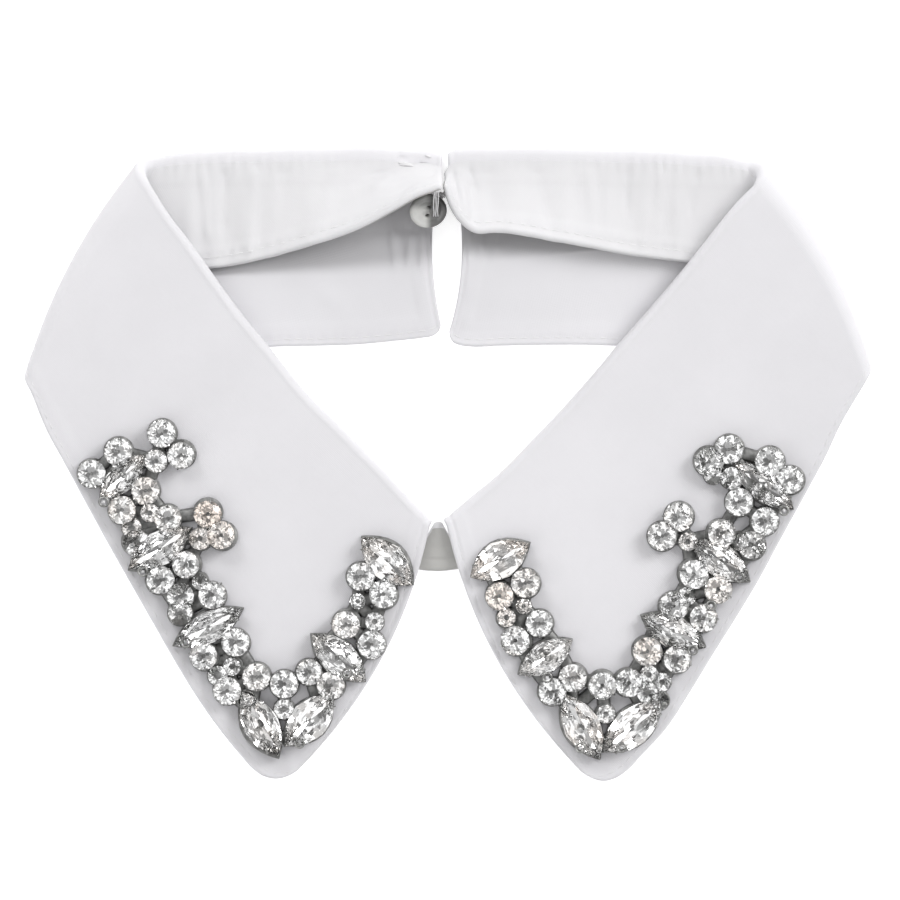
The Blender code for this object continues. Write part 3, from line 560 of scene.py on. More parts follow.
# Bar tack on the left end of the stand. Columns: start x, y; end x, y.
BAR_TACKS = (
    (-13.0, 77.2, -9.0, 76.6),
    (-12.6, 76.7, -8.8, 76.2),
    (-5.8, 78.9, -4.4, 78.5),
)
BAR_RADIUS = 0.28
# Arch of a bar. Columns: share of its run; height over the cloth; share of its thickness.
BAR_ARCH = (
    (0.0, -0.2, 0.5),
    (0.15, 0.15, 0.9),
    (0.5, 0.25, 1.0),
    (0.85, 0.15, 0.9),
    (1.0, -0.2, 0.5),
)
THREAD_SIDES = 7
CORD_STEPS = 90
STRAND_STEPS = 24
SHANK_DIAMETER = 1.5
SHANK_LAY = (4, 2.6)  # how many strands are twisted together, and the length of one turn
LOOP_CORD = 1.1
LOOP_LAY = (3, 2.4)
LAY_REACH = 0.25  # from the cord's middle to that of a strand, as a share of its diameter

# Camera over the table, in metres, so far up that near and far stones keep their size
VIEW_CENTRE = (0.0005, 0.0036)
VIEW_WIDTH = 0.2304
VIEW_HEIGHT = 2.5
VIEW_LEVEL = 0.002
VIEW_END = 20.0
SENSOR = 36.0

# Light: name; place and size in metres; power in watts
LIGHTS = (
    ("key_back_right", (1.4, 0.9, 1.3), 0.9, 20.0),
    ("fill_front_left", (-1.3, -1.0, 1.5), 1.3, 6.0),
    ("back_left_card", (-0.9, 1.5, 1.3), 0.7, 12.0),
)
ROOM_LIGHT = 1.53
PANEL_SCALE = 3.8
# How bright the panels of the room are. Columns: from this share on; brightness.
PANEL_LEVELS = ((0.0, 0.10), (0.24, 0.30), (0.50, 0.55), (0.78, 1.0))
OVERHEAD_LIGHT = 0.50  # how bright the panel right above the table is
OVERHEAD_SPAN = (0.92, 0.98)  # it fades in between these heights of the room
ROOM_DEPTH = (-0.7, 0.7)  # the front and the back of the room
FRONT_SHARE = 0.9  # how bright the front of the room is, to the back as one
FLOOR_GLOW = 0.50
SPARKLE_BOUNCES = 14  # light turns about inside the crystals this often
TABLE_LEVEL = -0.00025
TABLE_REACH = 3000.0  # in millimetres, as a piece is made

# Finishes: their colours, the scales of their patterns, and how far they vary
LEAF_WHITE = (0.720, 0.712, 0.735)
STAND_WHITE = (0.690, 0.685, 0.698)
# painted shade: the grey of the stand's outside, shaded between the leaves and under its lip
STAND_OUTSIDE_SHADE_GREY = (0.46, 0.455, 0.44)
SLUB_SCALE = 900.0
WEAVE_SHADE = 0.022
FUZZ_SCALE = 1400.0
FUZZ_SHARE = 0.6
CLOUD_SPAN = (0.3, 0.7)
TINT_SCALE = 75.0
FOIL_TINTS = ((0.5, (0.90, 0.90, 0.90)), (0.7, (0.88, 0.83, 0.79)))
CRYSTAL_SMEAR = (0.0, 0.012)
SILVER_WEAR = (0.18, 0.42)


def unit(vector):
    return vector / np.linalg.norm(vector)


def tilted_to(up):
    """The turn that stands a piece up along a direction."""
    return Vector((0.0, 0.0, 1.0)).rotation_difference(up).to_matrix().to_4x4()


def new_object(name, data, collection):
    made = bpy.data.objects.new(name, data)
    collection.objects.link(made)
    return made


def panel_rows(table, hand):
    """Rows of one panel of a leaf. hand is 1 for the left leaf and -1 for the right.

    Each row holds the roll point, the outer edge point and the bow as vectors, then the
    reach and the lift of the stand.
    """
    table = np.array(table)
    fold, edge = table[:, 0:3], table[:, 3:6]
    along = np.gradient(fold[:, :2], axis=0)
    rows = []
    for i in range(len(table)):
        way = unit((edge[i] - fold[i])[:2])
        course = unit(along[i])
        slant = max(LEAST_SLANT, abs(course[0] * way[1] - course[1] * way[0]))
        inset = FOLD_RADIUS + WALL / 2 / slant
        roll = fold[i] + np.array([*(way * inset), 0.0])
        bow = hand * table[i, 6] * np.array([-way[1], way[0], 0.0])
        reach = table[i, 7] - inset
        rows.append(np.concatenate([roll, edge[i], bow, [reach, table[i, 8]]]))
    return rows


def crease_rows(corners, hand, reach):
    """Rows round the side crease, from the top of its turn to the bottom."""
    fold, edge = np.array(corners[:2]), np.array(corners[2:])
    way = unit(edge - fold)
    out = hand * np.array([way[1], -way[0]])
    inset = FOLD_RADIUS + WALL / 2
    rows = []
    for step in range(CREASE_TURN_STEPS + 1):
        turn = math.pi * step / CREASE_TURN_STEPS
        ends = []
        for corner, radius, slant in (
            (fold + way * inset, CREASE_RADIUS_AT_FOLD, FOLD_SLANT),
            (edge, CREASE_RADIUS_AT_EDGE, EDGE_SLANT),
        ):
            axis = corner - out * (radius + WALL / 2)
            place = axis + out * radius * math.sin(turn)
            place = place + way * slant * radius * (math.pi / 2 - turn)
            height = WALL / 2 + radius * (1 + math.cos(turn))
            ends.append(np.array([*place, height]))
        bow = np.array([*(out * CREASE_BOW), 0.0])
        rows.append(np.concatenate([*ends, bow, [reach, 0.0]]))
    return rows


def smooth_rows(rows):
    """Rows no further apart than LONGEST_STEP, on smooth curves through those given."""
    rows = np.array(rows)
    gaps = np.diff(rows, axis=0)
    lengths = np.maximum(
        np.linalg.norm(gaps[:, 0:3], axis=1), np.linalg.norm(gaps[:, 3:6], axis=1)
    )
    slopes = gaps / lengths[:, None]
    tangents = np.empty_like(rows)
    tangents[0], tangents[-1] = slopes[0], slopes[-1]
    before, after = lengths[:-1, None], lengths[1:, None]
    tangents[1:-1] = (slopes[:-1] * after + slopes[1:] * before) / (before + after)
    fine = [rows[0]]
    for i, length in enumerate(lengths):
        count = math.ceil(length / LONGEST_STEP)
        for k in range(1, count + 1):
            s = k / count
            start = rows[i] * (2 * s**3 - 3 * s**2 + 1) + rows[i + 1] * (3 * s**2 - 2 * s**3)
            bend = tangents[i] * (s**3 - 2 * s**2 + s) + tangents[i + 1] * (s**3 - s**2)
            fine.append(start + bend * length)
    return fine


def leaf_sections(front, crease, back, hand):
    """Every section of one leaf, with its frame: roll point, way out, way in."""
    front_rows = panel_rows(front, hand)
    back_rows = panel_rows(back, hand)
    turn = crease_rows(corners=crease, hand=hand, reach=front_rows[-1][9])
    rows = smooth_rows([*front_rows, turn[0]])
    rows += turn[1:-1]
    rows += smooth_rows([turn[-1], *back_rows])
    rolls = np.array([row[0:3] for row in rows])
    along = np.gradient(rolls, axis=0)
    sections = []
    for row, course in zip(rows, along):
        way = unit(row[3:6] - row[0:3])
        inner = unit(np.cross(way, course)) * hand
        sections.append((row, way, inner))
    return sections


def leaf_points(section):
    """Points across one leaf section, from its seam round the roll to its outer edge."""
    row, way, inner = section
    roll, edge, bow = row[0:3], row[3:6], row[6:9]
    centre = roll + inner * FOLD_RADIUS
    seam = roll + inner * 2 * FOLD_RADIUS
    points = [seam + way * SEAM_FROM_ROLL]
    points += [seam + way * (SEAM_FROM_ROLL - d) for d in CLOSE_TO_EDGE]
    for step in range(ROLL_STEPS):
        turn = math.pi * (1 - step / ROLL_STEPS)
        arm = inner * math.cos(turn) + way * math.sin(turn)
        points.append(centre - FOLD_RADIUS * arm)
    for u in LEAF_STEPS:
        points.append(roll + (edge - roll) * u + bow * 4 * u * (1 - u))
    return points


def stand_starts(sections):
    """Where the stand begins in each section, tucked into the end of the leaf."""
    seams = np.array([row[0:3] + inner * 2 * FOLD_RADIUS for row, _, inner in sections])
    starts = []
    for (_, way, _), course in zip(sections, np.gradient(seams, axis=0)):
        slant = max(LEAST_SEAM_SLANT, np.linalg.norm(np.cross(way, unit(course))))
        starts.append(SEAM_FROM_ROLL + SEAM_GAP / slant)
    return starts


def stand_points(section, start, reach, lift):
    """Points across one stand section, from its upper edge to its lower one."""
    row, way, inner = section
    seam = row[0:3] + inner * 2 * FOLD_RADIUS
    points = []
    for u in STAND_STEPS:
        rise = lift * u**LIFT_POWER
        place = seam + way * (start + (reach - start) * u) + inner * rise
        points.append(place + inner * ripple(place, inner) * math.sin(math.pi * u * RIPPLE_SPAN))
    return points


def ripple(place, inner):
    """Height of the soft ripples where the stand lies with its inner face up."""
    if inner[2] < FACE_UP:
        return 0.0
    heights = (high * math.exp(-(((place[0] - x) / half) ** 2)) for x, half, high in RIPPLES)
    return sum(heights)


def neck_front_points(left, right):
    """Stand sections across the gap between the two leaves."""
    (left_row, left_way, left_inner), (right_row, right_way, right_inner) = left, right
    left_turn = math.atan2(left_way[0], -left_way[1])
    right_turn = math.atan2(right_way[0], -right_way[1])
    strips = []
    for share, start, reach in NECK_FRONT:
        turn = left_turn + (right_turn - left_turn) * share
        slope = left_way[2] + (right_way[2] - left_way[2]) * share
        way = unit(np.array([math.sin(turn), -math.cos(turn), slope]))
        inner = unit(left_inner + (right_inner - left_inner) * share)
        row = left_row + (right_row - left_row) * share
        strips.append(stand_points((row, way, inner), start, reach, 0.0))
    return strips


def stand_strips(left, right):
    """Every section of the stand, from the left back end round to the right one."""
    halves = []
    for half in (left, right):
        starts = stand_starts(half)
        halves.append([stand_points(s, a, s[0][9], s[0][10]) for s, a in zip(half, starts)])
    strips = [*reversed(halves[0]), *neck_front_points(left[0], right[0]), *halves[1]]
    row, way, inner = right[-1]
    tab = row.copy()
    tab[0] -= END_TAB_LENGTH
    strips.append(stand_points((tab, way, inner), END_TAB_START, END_TAB_REACH, END_TAB_LIFT))
    return strips


def close_rows(strips):
    """The same strips with close ones added beside the first and the last."""
    strips = [np.array(strip) for strip in strips]
    added = []
    for end, after in ((strips[0], strips[1]), (strips[-1], strips[-2])):
        step = np.linalg.norm(after - end, axis=1)[:, None]
        near = [d for d in CLOSE_TO_EDGE if d < step.min() * CLOSE_SHARE]
        added.append([end + (after - end) * d / step for d in near])
    return np.array([strips[0], *added[0], *strips[1:-1], *reversed(added[1]), strips[-1]])


def walked(points):
    """Distance along each column of points, from zero at the first row."""
    steps = np.linalg.norm(np.diff(points, axis=0), axis=2)
    return np.concatenate([np.zeros((1, points.shape[1])), np.cumsum(steps, axis=0)])


def bump(distance, width):
    return np.exp(-((distance / width) ** 2))


def gathers(along, pitch, seed):
    """Heights of uneven little gathers, one at each stitch of the same long line."""
    random = np.random.default_rng(seed)
    count = int(2 * GATHER_REACH / pitch)
    drift = random.uniform(-GATHER_DRIFT, GATHER_DRIFT, count)
    centres = (np.arange(count) + drift) * pitch - GATHER_REACH
    heights = random.uniform(*GATHER_HEIGHTS, count)
    widths = pitch * random.uniform(*GATHER_WIDTHS, count)
    near = (along[..., None] - centres) / widths
    return (heights * np.exp(-(near**2))).sum(axis=-1)


def crease_heights(points, creases):
    """Heights of soft ridges and troughs that fade out toward their ends."""
    total = np.zeros(points.shape[:2])
    for x1, y1, x2, y2, half, high in creases:
        start, run = np.array([x1, y1]), np.array([x2 - x1, y2 - y1])
        length = np.linalg.norm(run)
        off = points[..., :2] - start
        along = off @ (run / length) / length
        beside = (off[..., 0] * run[1] - off[..., 1] * run[0]) / length
        reach = np.clip(np.maximum(-along, along - 1) * length / (CREASE_FADE * half), 0, None)
        swell = 1 - CREASE_SWELL + CREASE_SWELL * np.sin(CREASE_WAVES * along + x1)
        total += high * swell * bump(beside, half) * np.exp(-(reach**2))
    return total


def ridge_heights(points, ridge):
    """Height of the low tent along a pressed crease."""
    x, y, high = np.array(ridge).T
    off = points[..., 1] - np.interp(points[..., 0], x, y)
    away = np.sqrt(off**2 + RIDGE_ROUNDING**2) - RIDGE_ROUNDING
    reach = np.where(off < 0, RIDGE_TO_HEM, RIDGE_TO_FOLD)
    return np.interp(points[..., 0], x, high) * np.clip(1 - away / reach, 0, 1)


class Panel:
    """A piece of cloth as a grid of points: rows along it, columns across it."""

    def __init__(self, strips, side):
        self.points = close_rows(strips)
        self.side = side
        self.measure()

    def measure(self):
        down = walked(self.points)
        across = walked(self.points.swapaxes(0, 1)).T
        self.from_start, self.from_end = down, down[-1] - down
        self.from_first, self.from_last = across, across[:, -1:] - across
        lines = np.gradient(self.points, axis=0)
        rows = np.gradient(self.points, axis=1)
        normals = np.cross(lines, rows) * self.side
        self.normals = normals / np.linalg.norm(normals, axis=2)[..., None]

    def push(self, heights):
        """Moves the cloth out along its own normals."""
        self.points = self.points + self.normals * heights[..., None]
        self.measure()

    def facing(self, way):
        """How much each place looks up (way 1) or down (way -1), from 0 to 1."""
        return np.clip(way * self.normals[..., 2] * 2.0, 0, 1)

    def edge_distance(self):
        return np.minimum.reduce([self.from_start, self.from_end, self.from_first, self.from_last])

    def half_thickness(self):
        """Half the cloth's thickness: full over the seam allowances, round at the free edges."""
        near = self.edge_distance()
        field = np.clip((near - ALLOWANCE) / ALLOWANCE_FADE, 0, 1)
        half = EDGE_HALF + (FIELD_HALF - EDGE_HALF) * field * field * (3 - 2 * field)
        free = np.minimum.reduce([self.from_start, self.from_end, self.from_last])
        inside = np.clip(free / EDGE_HALF, 0, 1)
        return np.maximum(LEAST_HALF, half * np.sqrt(1 - (1 - inside) ** 2))


def shell(name, panel, half, cut, collection, finish):
    """A closed wall of cloth about a panel, with the flat cut's places as its map."""
    rows, wide = half.shape
    outer = panel.points + panel.normals * half[..., None]
    inner = panel.points - panel.normals * half[..., None]
    points = np.concatenate([outer.reshape(-1, 3), inner.reshape(-1, 3)]) * MM
    index = np.arange(rows * wide).reshape(rows, wide)
    a, b = index[:-1, :-1].ravel(), index[1:, :-1].ravel()
    c, d = index[1:, 1:].ravel(), index[:-1, 1:].ravel()
    front = np.stack([a, b, c, d], axis=1)
    back = front[:, ::-1] + rows * wide
    rim = np.concatenate([index[0], index[1:, -1], index[-1, -2::-1], index[-2:0:-1, 0]])
    ahead = np.roll(rim, -1)
    side = np.stack([rim, ahead, ahead + rows * wide, rim + rows * wide], axis=1)
    faces = np.concatenate([front, back, side])
    if panel.side < 0:
        faces = faces[:, ::-1]
    mesh = bpy.data.meshes.new(name)
    mesh.from_pydata(points.tolist(), [], faces.tolist())
    mesh.update()
    smooth = np.ones(len(faces), bool)
    smooth[-len(side):] = False
    mesh.polygons.foreach_set("use_smooth", smooth)
    places = np.concatenate([cut.reshape(-1, 2), cut.reshape(-1, 2)])
    corners = np.zeros(len(mesh.loops), int)
    mesh.loops.foreach_get("vertex_index", corners)
    layer = mesh.uv_layers.new(name="Cut")
    layer.data.foreach_set("uv", (places[corners] * MM).ravel())
    mesh.materials.append(finish)
    return new_object(name, mesh, collection)


class Maker:
    """Collects the points and faces of one piece, in millimetres."""

    def __init__(self):
        self.points, self.faces, self.slots, self.smooth = [], [], [], []

    def add(self, points, faces, slot=0, smooth=False, seat=None):
        base = len(self.points)
        for point in points:
            placed = Vector(point) if seat is None else seat @ Vector(point)
            self.points.append(tuple(placed))
        for face in faces:
            self.faces.append([base + k for k in face])
            self.slots.append(slot)
            self.smooth.append(smooth)

    def rings(self, rings, slot=0, smooth=True, seat=None, closed=True):
        """Skin between rings of as many points each, capped at both ends when closed."""
        count = len(rings[0])
        points = [p for ring in rings for p in ring]
        faces = []
        for i in range(len(rings) - 1):
            for k in range(count):
                n = (k + 1) % count
                low, high = i * count, (i + 1) * count
                faces.append((low + k, low + n, high + n, high + k))
        if closed:
            faces.append(tuple(reversed(range(count))))
            faces.append(tuple(range((len(rings) - 1) * count, len(rings) * count)))
        self.add(points, faces, slot, smooth, seat)

    def tube(self, path, radii, sides, slot=0, seat=None):
        """A round thread or wire along a path."""
        path = [Vector(p) for p in path]
        rings, up = [], None
        for k, place in enumerate(path):
            ahead, behind = path[min(k + 1, len(path) - 1)], path[max(k - 1, 0)]
            way = (ahead - behind).normalized()
            if up is None:
                up = way.orthogonal().normalized()
            up = (up - way * up.dot(way)).normalized()
            beside = way.cross(up)
            ring = []
            for n in range(sides):
                turn = 2 * math.pi * n / sides
                ring.append(place + (up * math.cos(turn) + beside * math.sin(turn)) * radii[k])
            rings.append(ring)
        self.rings(rings, slot, True, seat)

    def finish(self, name, collection, finishes):
        mesh = bpy.data.meshes.new(name)
        mesh.from_pydata([tuple(c * MM for c in p) for p in self.points], [], self.faces)
        mesh.polygons.foreach_set("material_index", self.slots)
        mesh.polygons.foreach_set("use_smooth", self.smooth)
        for finish in finishes:
            mesh.materials.append(finish)
        mesh.update()
        return new_object(name, mesh, collection)


def circle(radius, height, sides, x=0.0, y=0.0):
    """Points round a level circle."""
    turns = [2 * math.pi * k / sides for k in range(sides)]
    return [(x + radius * math.cos(t), y + radius * math.sin(t), height) for t in turns]


def stone_outline(length, width, turn):
    """Point of a stone's outline at an angle: round, or a pointed oval where it is longer."""
    if length > width:
        side = math.copysign(math.sin(turn) ** 2, math.sin(turn))
        return length / 2 * math.cos(turn), width / 2 * side
    return width / 2 * math.cos(turn), width / 2 * math.sin(turn)


def stone_ring(length, width, share, height, sides, shift=0.0):
    """Points round a stone, at a share of its outline."""
    ring = []
    for k in range(sides):
        x, y = stone_outline(length, width, 2 * math.pi * (k + shift) / sides)
        ring.append((x * share, y * share, height))
    return ring


def cut_stone(maker, seat, length, width, height, cut):
    """A crystal with table, star and kite facets over a foiled point."""
    facets = cut["facets"]
    table, mid, girdle, low = cut["table"], cut["mid"], cut["girdle"], cut["low"]
    top, belt, tip = cut["top"] * height, cut["belt"] * height, cut["tip"] * height
    half = math.cos(math.pi / facets)
    mid_top = top - (mid * half - table) / (girdle - table) * (top - belt)
    low_top = tip + low * half / girdle * (belt - tip)

    points = stone_ring(length, width, table, top, facets)
    points += stone_ring(length, width, mid, mid_top, facets, 0.5)
    points += stone_ring(length, width, girdle, belt, 2 * facets)
    points += stone_ring(length, width, low, low_top, facets, 0.5)
    points.append((0.0, 0.0, tip))
    stars, belts, lows, point = facets, 2 * facets, 4 * facets, 5 * facets
    crown, back = [tuple(range(facets))], []
    for k in range(facets):
        n, before = (k + 1) % facets, (k - 1) % facets
        g0, g1, g2 = belts + 2 * k, belts + 2 * k + 1, belts + (2 * k + 2) % (2 * facets)
        crown.append((k, stars + k, n))
        crown.append((k, stars + before, g0))
        crown.append((k, g0, stars + k))
        crown.append((stars + k, g0, g1))
        crown.append((stars + k, g1, g2))
        back.append((point, g0, lows + before))
        back.append((point, lows + k, g0))
        back.append((lows + k, g1, g0))
        back.append((lows + k, g2, g1))
    maker.add(points, crown + back, CRYSTAL, False, seat)
    maker.slots[-len(back):] = [FOIL] * len(back)


def cup(maker, seat, length, width, height, cut):
    """The metal cup under a stone: foot, wall, lip and inside."""
    belt = cut["belt"] * height
    profile = (
        (0.60, 0.0),
        (0.86, 0.35 * belt),
        (0.98, belt - 0.4),
        (0.985, belt - 0.08),
        (0.95, belt - 0.1),
        (0.92, belt - 0.5),
        (0.52, 0.25),
    )
    rings = [stone_ring(length, width, share, z, CUP_SIDES) for share, z in profile]
    maker.rings(rings, SILVER, False, seat)


def claw(maker, seat, length, width, height, cut, turn, size):
    """A small prong bent in over the girdle."""
    belt = cut["belt"] * height
    x, y = stone_outline(length, width, turn)
    path = [(x * share, y * share, belt + z) for share, z, _ in CLAW_BEND]
    maker.tube(path, [size * thick for _, _, thick in CLAW_BEND], 6, SILVER, seat)


def hole_ring(maker, seat):
    """The rimmed sewing hole at the tip of a pointed stone, with thread showing in it."""
    rings = []
    for centre in circle(RING_RADIUS, 0.0, RING_SIDES):
        out = Vector(centre).normalized()
        wire = circle(RING_WIRE, 0.0, RING_WIRE_SIDES)
        rings.append([Vector(centre) + out * x + Vector((0.0, 0.0, y)) for x, y, _ in wire])
    maker.rings([*rings, rings[0]], SILVER, True, seat, closed=False)
    dome = [circle(THREAD_KNOT * share, z, KNOT_SIDES) for share, z in KNOT_PROFILE]
    maker.rings(dome, SETTING_THREAD, True, seat)


def plate(maker, seat, length, width):
    """The low dark plate of the setting under a stone, a little wider than the stone; its dark tone
    is partly painted shade for the gaps between stones.
    """
    rings = []
    for rim, z in PLATE_PROFILE:
        ring = []
        for x, y, _ in stone_ring(length, width, 1.0, z, PLATE_SIDES):
            grow = 1 + rim / max(math.hypot(x, y), LEAST_REACH)
            ring.append((x * grow, y * grow, z))
        rings.append(ring)
    maker.rings(rings, DARK_PLATE, True, seat)


def stone_gap(a, b):
    """Clear distance between two stones, each a row of spine ends and radius."""
    (a_start, a_end, a_radius), (b_start, b_end, b_radius) = a, b
    best = None
    for u in SPINE_STEPS:
        p = a_start.lerp(a_end, u)
        for v in SPINE_STEPS:
            q = b_start.lerp(b_end, v)
            gap = (p - q).length - a_radius - b_radius
            if best is None or gap < best[0]:
                best = (gap, p, q)
    return best


def near_links(spines):
    """Links between all stones that lie within LINK_REACH of each other."""
    links = []
    for i in range(len(spines)):
        for j in range(i + 1, len(spines)):
            gap, start, end = stone_gap(spines[i], spines[j])
            if gap < LINK_REACH:
                links.append((start, end))
    return links


def link(maker, start, end):
    """A low strip of the setting between two neighbouring stones, dark in part as painted shade
    between them.
    """
    run = end - start
    turn = run.to_track_quat("X", "Z").to_matrix().to_4x4()
    seat = Matrix.Translation((start + end) / 2) @ turn
    rings = []
    for u, wide in LINK_WAIST:
        half = LINK_HALF_WIDTH * wide
        ring = [(u * run.length, y * half, LINK_FOOT + z * LINK_TALL) for y, z in LINK_SECTION]
        rings.append(ring)
    maker.rings(rings, DARK_PLATE, True, seat)


def seat_on(surface, x, y, turn, lift):
    """The place and tilt of a stone that sits on the leaf at x, y."""
    hit, normal, _, _ = surface.ray_cast(Vector((x, y, ABOVE_ALL)) * MM, Vector((0.0, 0.0, -1.0)))
    up = (normal + Vector((0.0, 0.0, SEAT_LEVELLING))).normalized()
    spin = Matrix.Rotation(math.radians(turn), 4, "Z")
    return Matrix.Translation(hit / MM + up * lift) @ tilted_to(up) @ spin


def trim(name, leaf, navettes, rounds, holes, collection, finishes):
    """Crystals of one leaf, and the cups, claws and links that hold them."""
    crystal, foil, silver, thread, dark = finishes
    surface = surface_of(leaf)
    random = np.random.default_rng(len(rounds))
    stones, settings, spines = Maker(), Maker(), []
    rows = [*navettes, *((x, y, None, wide, wide) for x, y, wide in rounds)]
    for k, (x, y, turn, length, width) in enumerate(rows):
        pointed = turn is not None
        length, width = length * STONE_FULLNESS, width * STONE_FULLNESS
        spin = turn if pointed else random.uniform(0.0, 45.0)
        seat = seat_on(surface, x, y, spin, STONE_LIFT + SEAT_STEP * (k % SEAT_LEVELS))
        for axis in ("X", "Y"):
            lean = math.radians(random.normal(0.0, STONE_TIP))
            seat = seat @ Matrix.Rotation(lean, 4, axis)
        height = NAVETTE_HEIGHT if pointed else max(SMALL_STONE_HEIGHT, STONE_HEIGHT * width)
        cut = NAVETTE_CUT if pointed else ROUND_CUT
        cut_stone(stones, seat, length, width, height, cut)
        cup(settings, seat, length, width, height, cut)
        plate(settings, seat, length, width)
        for angle in NAVETTE_CLAWS if pointed else ROUND_CLAWS:
            size = CLAW_SIZE if width > SMALL_STONE else SMALL_CLAW_SIZE
            claw(settings, seat, length, width, height, cut, math.radians(angle), size)
        reach = max(length - width, 0.0) / 2
        ends = [seat @ Vector((side * reach, 0.0, 0.0)) for side in (-1, 1)]
        spines.append((*ends, width * (NAVETTE_WAIST if pointed else ROUND_WAIST)))
    for start, end in near_links(spines):
        link(settings, start, end)
    for x, y in holes:
        hole_ring(settings, seat_on(surface, x, y, 0.0, HOLE_LIFT))
    made = stones.finish(f"crystals_{name}", collection, [crystal, foil])
    held = settings.finish(f"settings_{name}", collection, [silver, thread, dark])
    return made, held


def smooth_path(points, count):
    """Points on a smooth curve through those given."""
    points = np.array(points)
    ends = np.vstack([2 * points[0] - points[1], points, 2 * points[-1] - points[-2]])
    placed = []
    for t in np.linspace(0, len(points) - 1, count):
        i = min(int(t), len(points) - 2)
        s = t - i
        a, b, c, d = ends[i:i + 4]
        placed.append(
            0.5 * (2 * b + (c - a) * s + (2 * a - 5 * b + 4 * c - d) * s**2
                   + (3 * b - a - 3 * c + d) * s**3)
        )
    return np.array(placed)


def twisted_cord(name, points, diameter, strands, twist, collection, finish):
    """A thread or cord of a few strands laid round each other."""
    path = smooth_path(points, CORD_STEPS)
    length = walked(path[:, None, :])[:, 0]
    maker = Maker()
    reach = diameter * LAY_REACH
    for strand in range(strands):
        line, up = [], Vector((0.0, 0.0, 1.0))
        for k, place in enumerate(path):
            ahead, behind = path[min(k + 1, CORD_STEPS - 1)], path[max(k - 1, 0)]
            way = Vector(ahead - behind).normalized()
            up = (up - way * up.dot(way)).normalized()
            turn = 2 * math.pi * (strand / strands + length[k] / twist)
            out = up * math.cos(turn) + way.cross(up) * math.sin(turn)
            line.append(Vector(place) + out * reach)
        maker.tube(line, [diameter / 2 - reach] * CORD_STEPS, THREAD_SIDES)
    return maker.finish(name, collection, [finish])


def stitches(maker, line, normals):
    """Stitches along a line of points on cloth, each dipping into its own holes."""
    if len(line) < 3:
        return
    walk = walked(line[:, None, :])[:, 0]
    for start in np.arange(FIRST_STITCH, walk[-1] - STITCH_LENGTH, STITCH_PITCH):
        path = []
        for u, rise, _ in STITCH_ARCH:
            at = start + u * STITCH_LENGTH
            place = [np.interp(at, walk, line[:, n]) for n in range(3)]
            up = [np.interp(at, walk, normals[:, n]) for n in range(3)]
            path.append(np.array(place) + np.array(up) * rise)
        maker.tube(path, [THREAD_RADIUS * thick for _, _, thick in STITCH_ARCH], 6)


def surface_of(*pieces):
    """The faces of some pieces, to find places on them from above."""
    points, faces = [], []
    for piece in pieces:
        base = len(points)
        points += [v.co for v in piece.data.vertices]
        faces += [tuple(base + k for k in p.vertices) for p in piece.data.polygons]
    return BVHTree.FromPolygons(points, faces)


def bar_tacks(maker, surface):
    """Thread bars over the cloth at the end of the stand."""
    for x1, y1, x2, y2 in BAR_TACKS:
        path = []
        for u, rise, _ in BAR_ARCH:
            place = Vector((x1 + (x2 - x1) * u, y1 + (y2 - y1) * u, ABOVE_ALL))
            hit, normal, _, _ = surface.ray_cast(place * MM, Vector((0.0, 0.0, -1.0)))
            path.append(hit / MM + normal * rise)
        maker.tube(path, [BAR_RADIUS * thick for _, _, thick in BAR_ARCH], THREAD_SIDES)


def loop_strands(collection, finish):
    """The strands of the loop that lie over the button."""
    maker = Maker()
    path = smooth_path(STRAND_PATH, STRAND_STEPS)
    for n, beside in enumerate(STRANDS):
        line = []
        for k, place in enumerate(path):
            wave = STRAND_WAVE * math.sin(STRAND_TURN * k + STRAND_SHIFT * n)
            line.append(Vector(place) + Vector((beside + wave, 0.0, 0.0)))
        maker.tube(line, [STRAND_RADIUS] * STRAND_STEPS, THREAD_SIDES)
    return maker.finish("loop_strands", collection, [finish])


def line_at(panel, half, face, distance, target, columns=None):
    """Places and normals on one face where a distance passes a value, row by row.

    Given columns, it goes down each of them instead, beside a cut end.
    """
    points, normals = panel.points, panel.normals
    if columns is not None:
        points, normals = points.swapaxes(0, 1)[columns], normals.swapaxes(0, 1)[columns]
        half, distance = half.T[columns], distance.T[columns]
    found, ups = [], []
    for places, outs, halves, aways in zip(points, normals, half, distance):
        order = np.argsort(aways)
        aways = aways[order]
        if not aways[0] <= target <= aways[-1]:
            continue
        place = np.array([np.interp(target, aways, places[order, n]) for n in range(3)])
        up = np.array([np.interp(target, aways, outs[order, n]) for n in range(3)]) * face
        found.append(place + up * np.interp(target, aways, halves[order]))
        ups.append(up)
    return np.array(found), np.array(ups)


def stitch_groove(distance, target):
    return -STITCH_GROOVE * bump(distance - target, GROOVE_WIDTH)


def leaf_panel(sections, side, ridge, creases, seed):
    """One leaf: its sections, pressed at the stitches and gathered where it is sewn."""
    panel = Panel([leaf_points(s) for s in sections], side)
    x = panel.points[..., 0]
    underneath = panel.facing(-1)
    on_top = panel.facing(1) * (panel.points[..., 1] > BACK_FROM_Y)
    drawn = np.interp(x, *zip(*SEAM_GATHERS)) * on_top * SEAM_PUCKER
    heights = drawn * gathers(x, STITCH_PITCH, SEAM_SEED) * bump(panel.from_first, LEAF_SEAM_REACH)
    drawn = np.interp(x, *zip(*HEM_GATHERS)) * underneath * HEM_PUCKER
    drawn = drawn * gathers(x, STITCH_PITCH, seed)
    heights -= drawn * bump(panel.from_last - TOPSTITCH_IN, HEM_REACH)
    heights -= crease_heights(panel.points, creases) * underneath
    heights -= ridge_heights(panel.points, ridge) * underneath
    heights += crease_heights(panel.points, DIMPLES) * on_top
    panel.push(heights)
    return panel


def stitched_half(panel):
    """Half thickness of a leaf, drawn in along its stitching."""
    half = panel.half_thickness()
    for distance in (panel.from_last, panel.from_start, panel.from_end):
        groove = stitch_groove(distance, TOPSTITCH_IN)
        half = half + groove * np.clip(panel.edge_distance(), 0, 1)
    return np.maximum(half, LEAST_HALF)


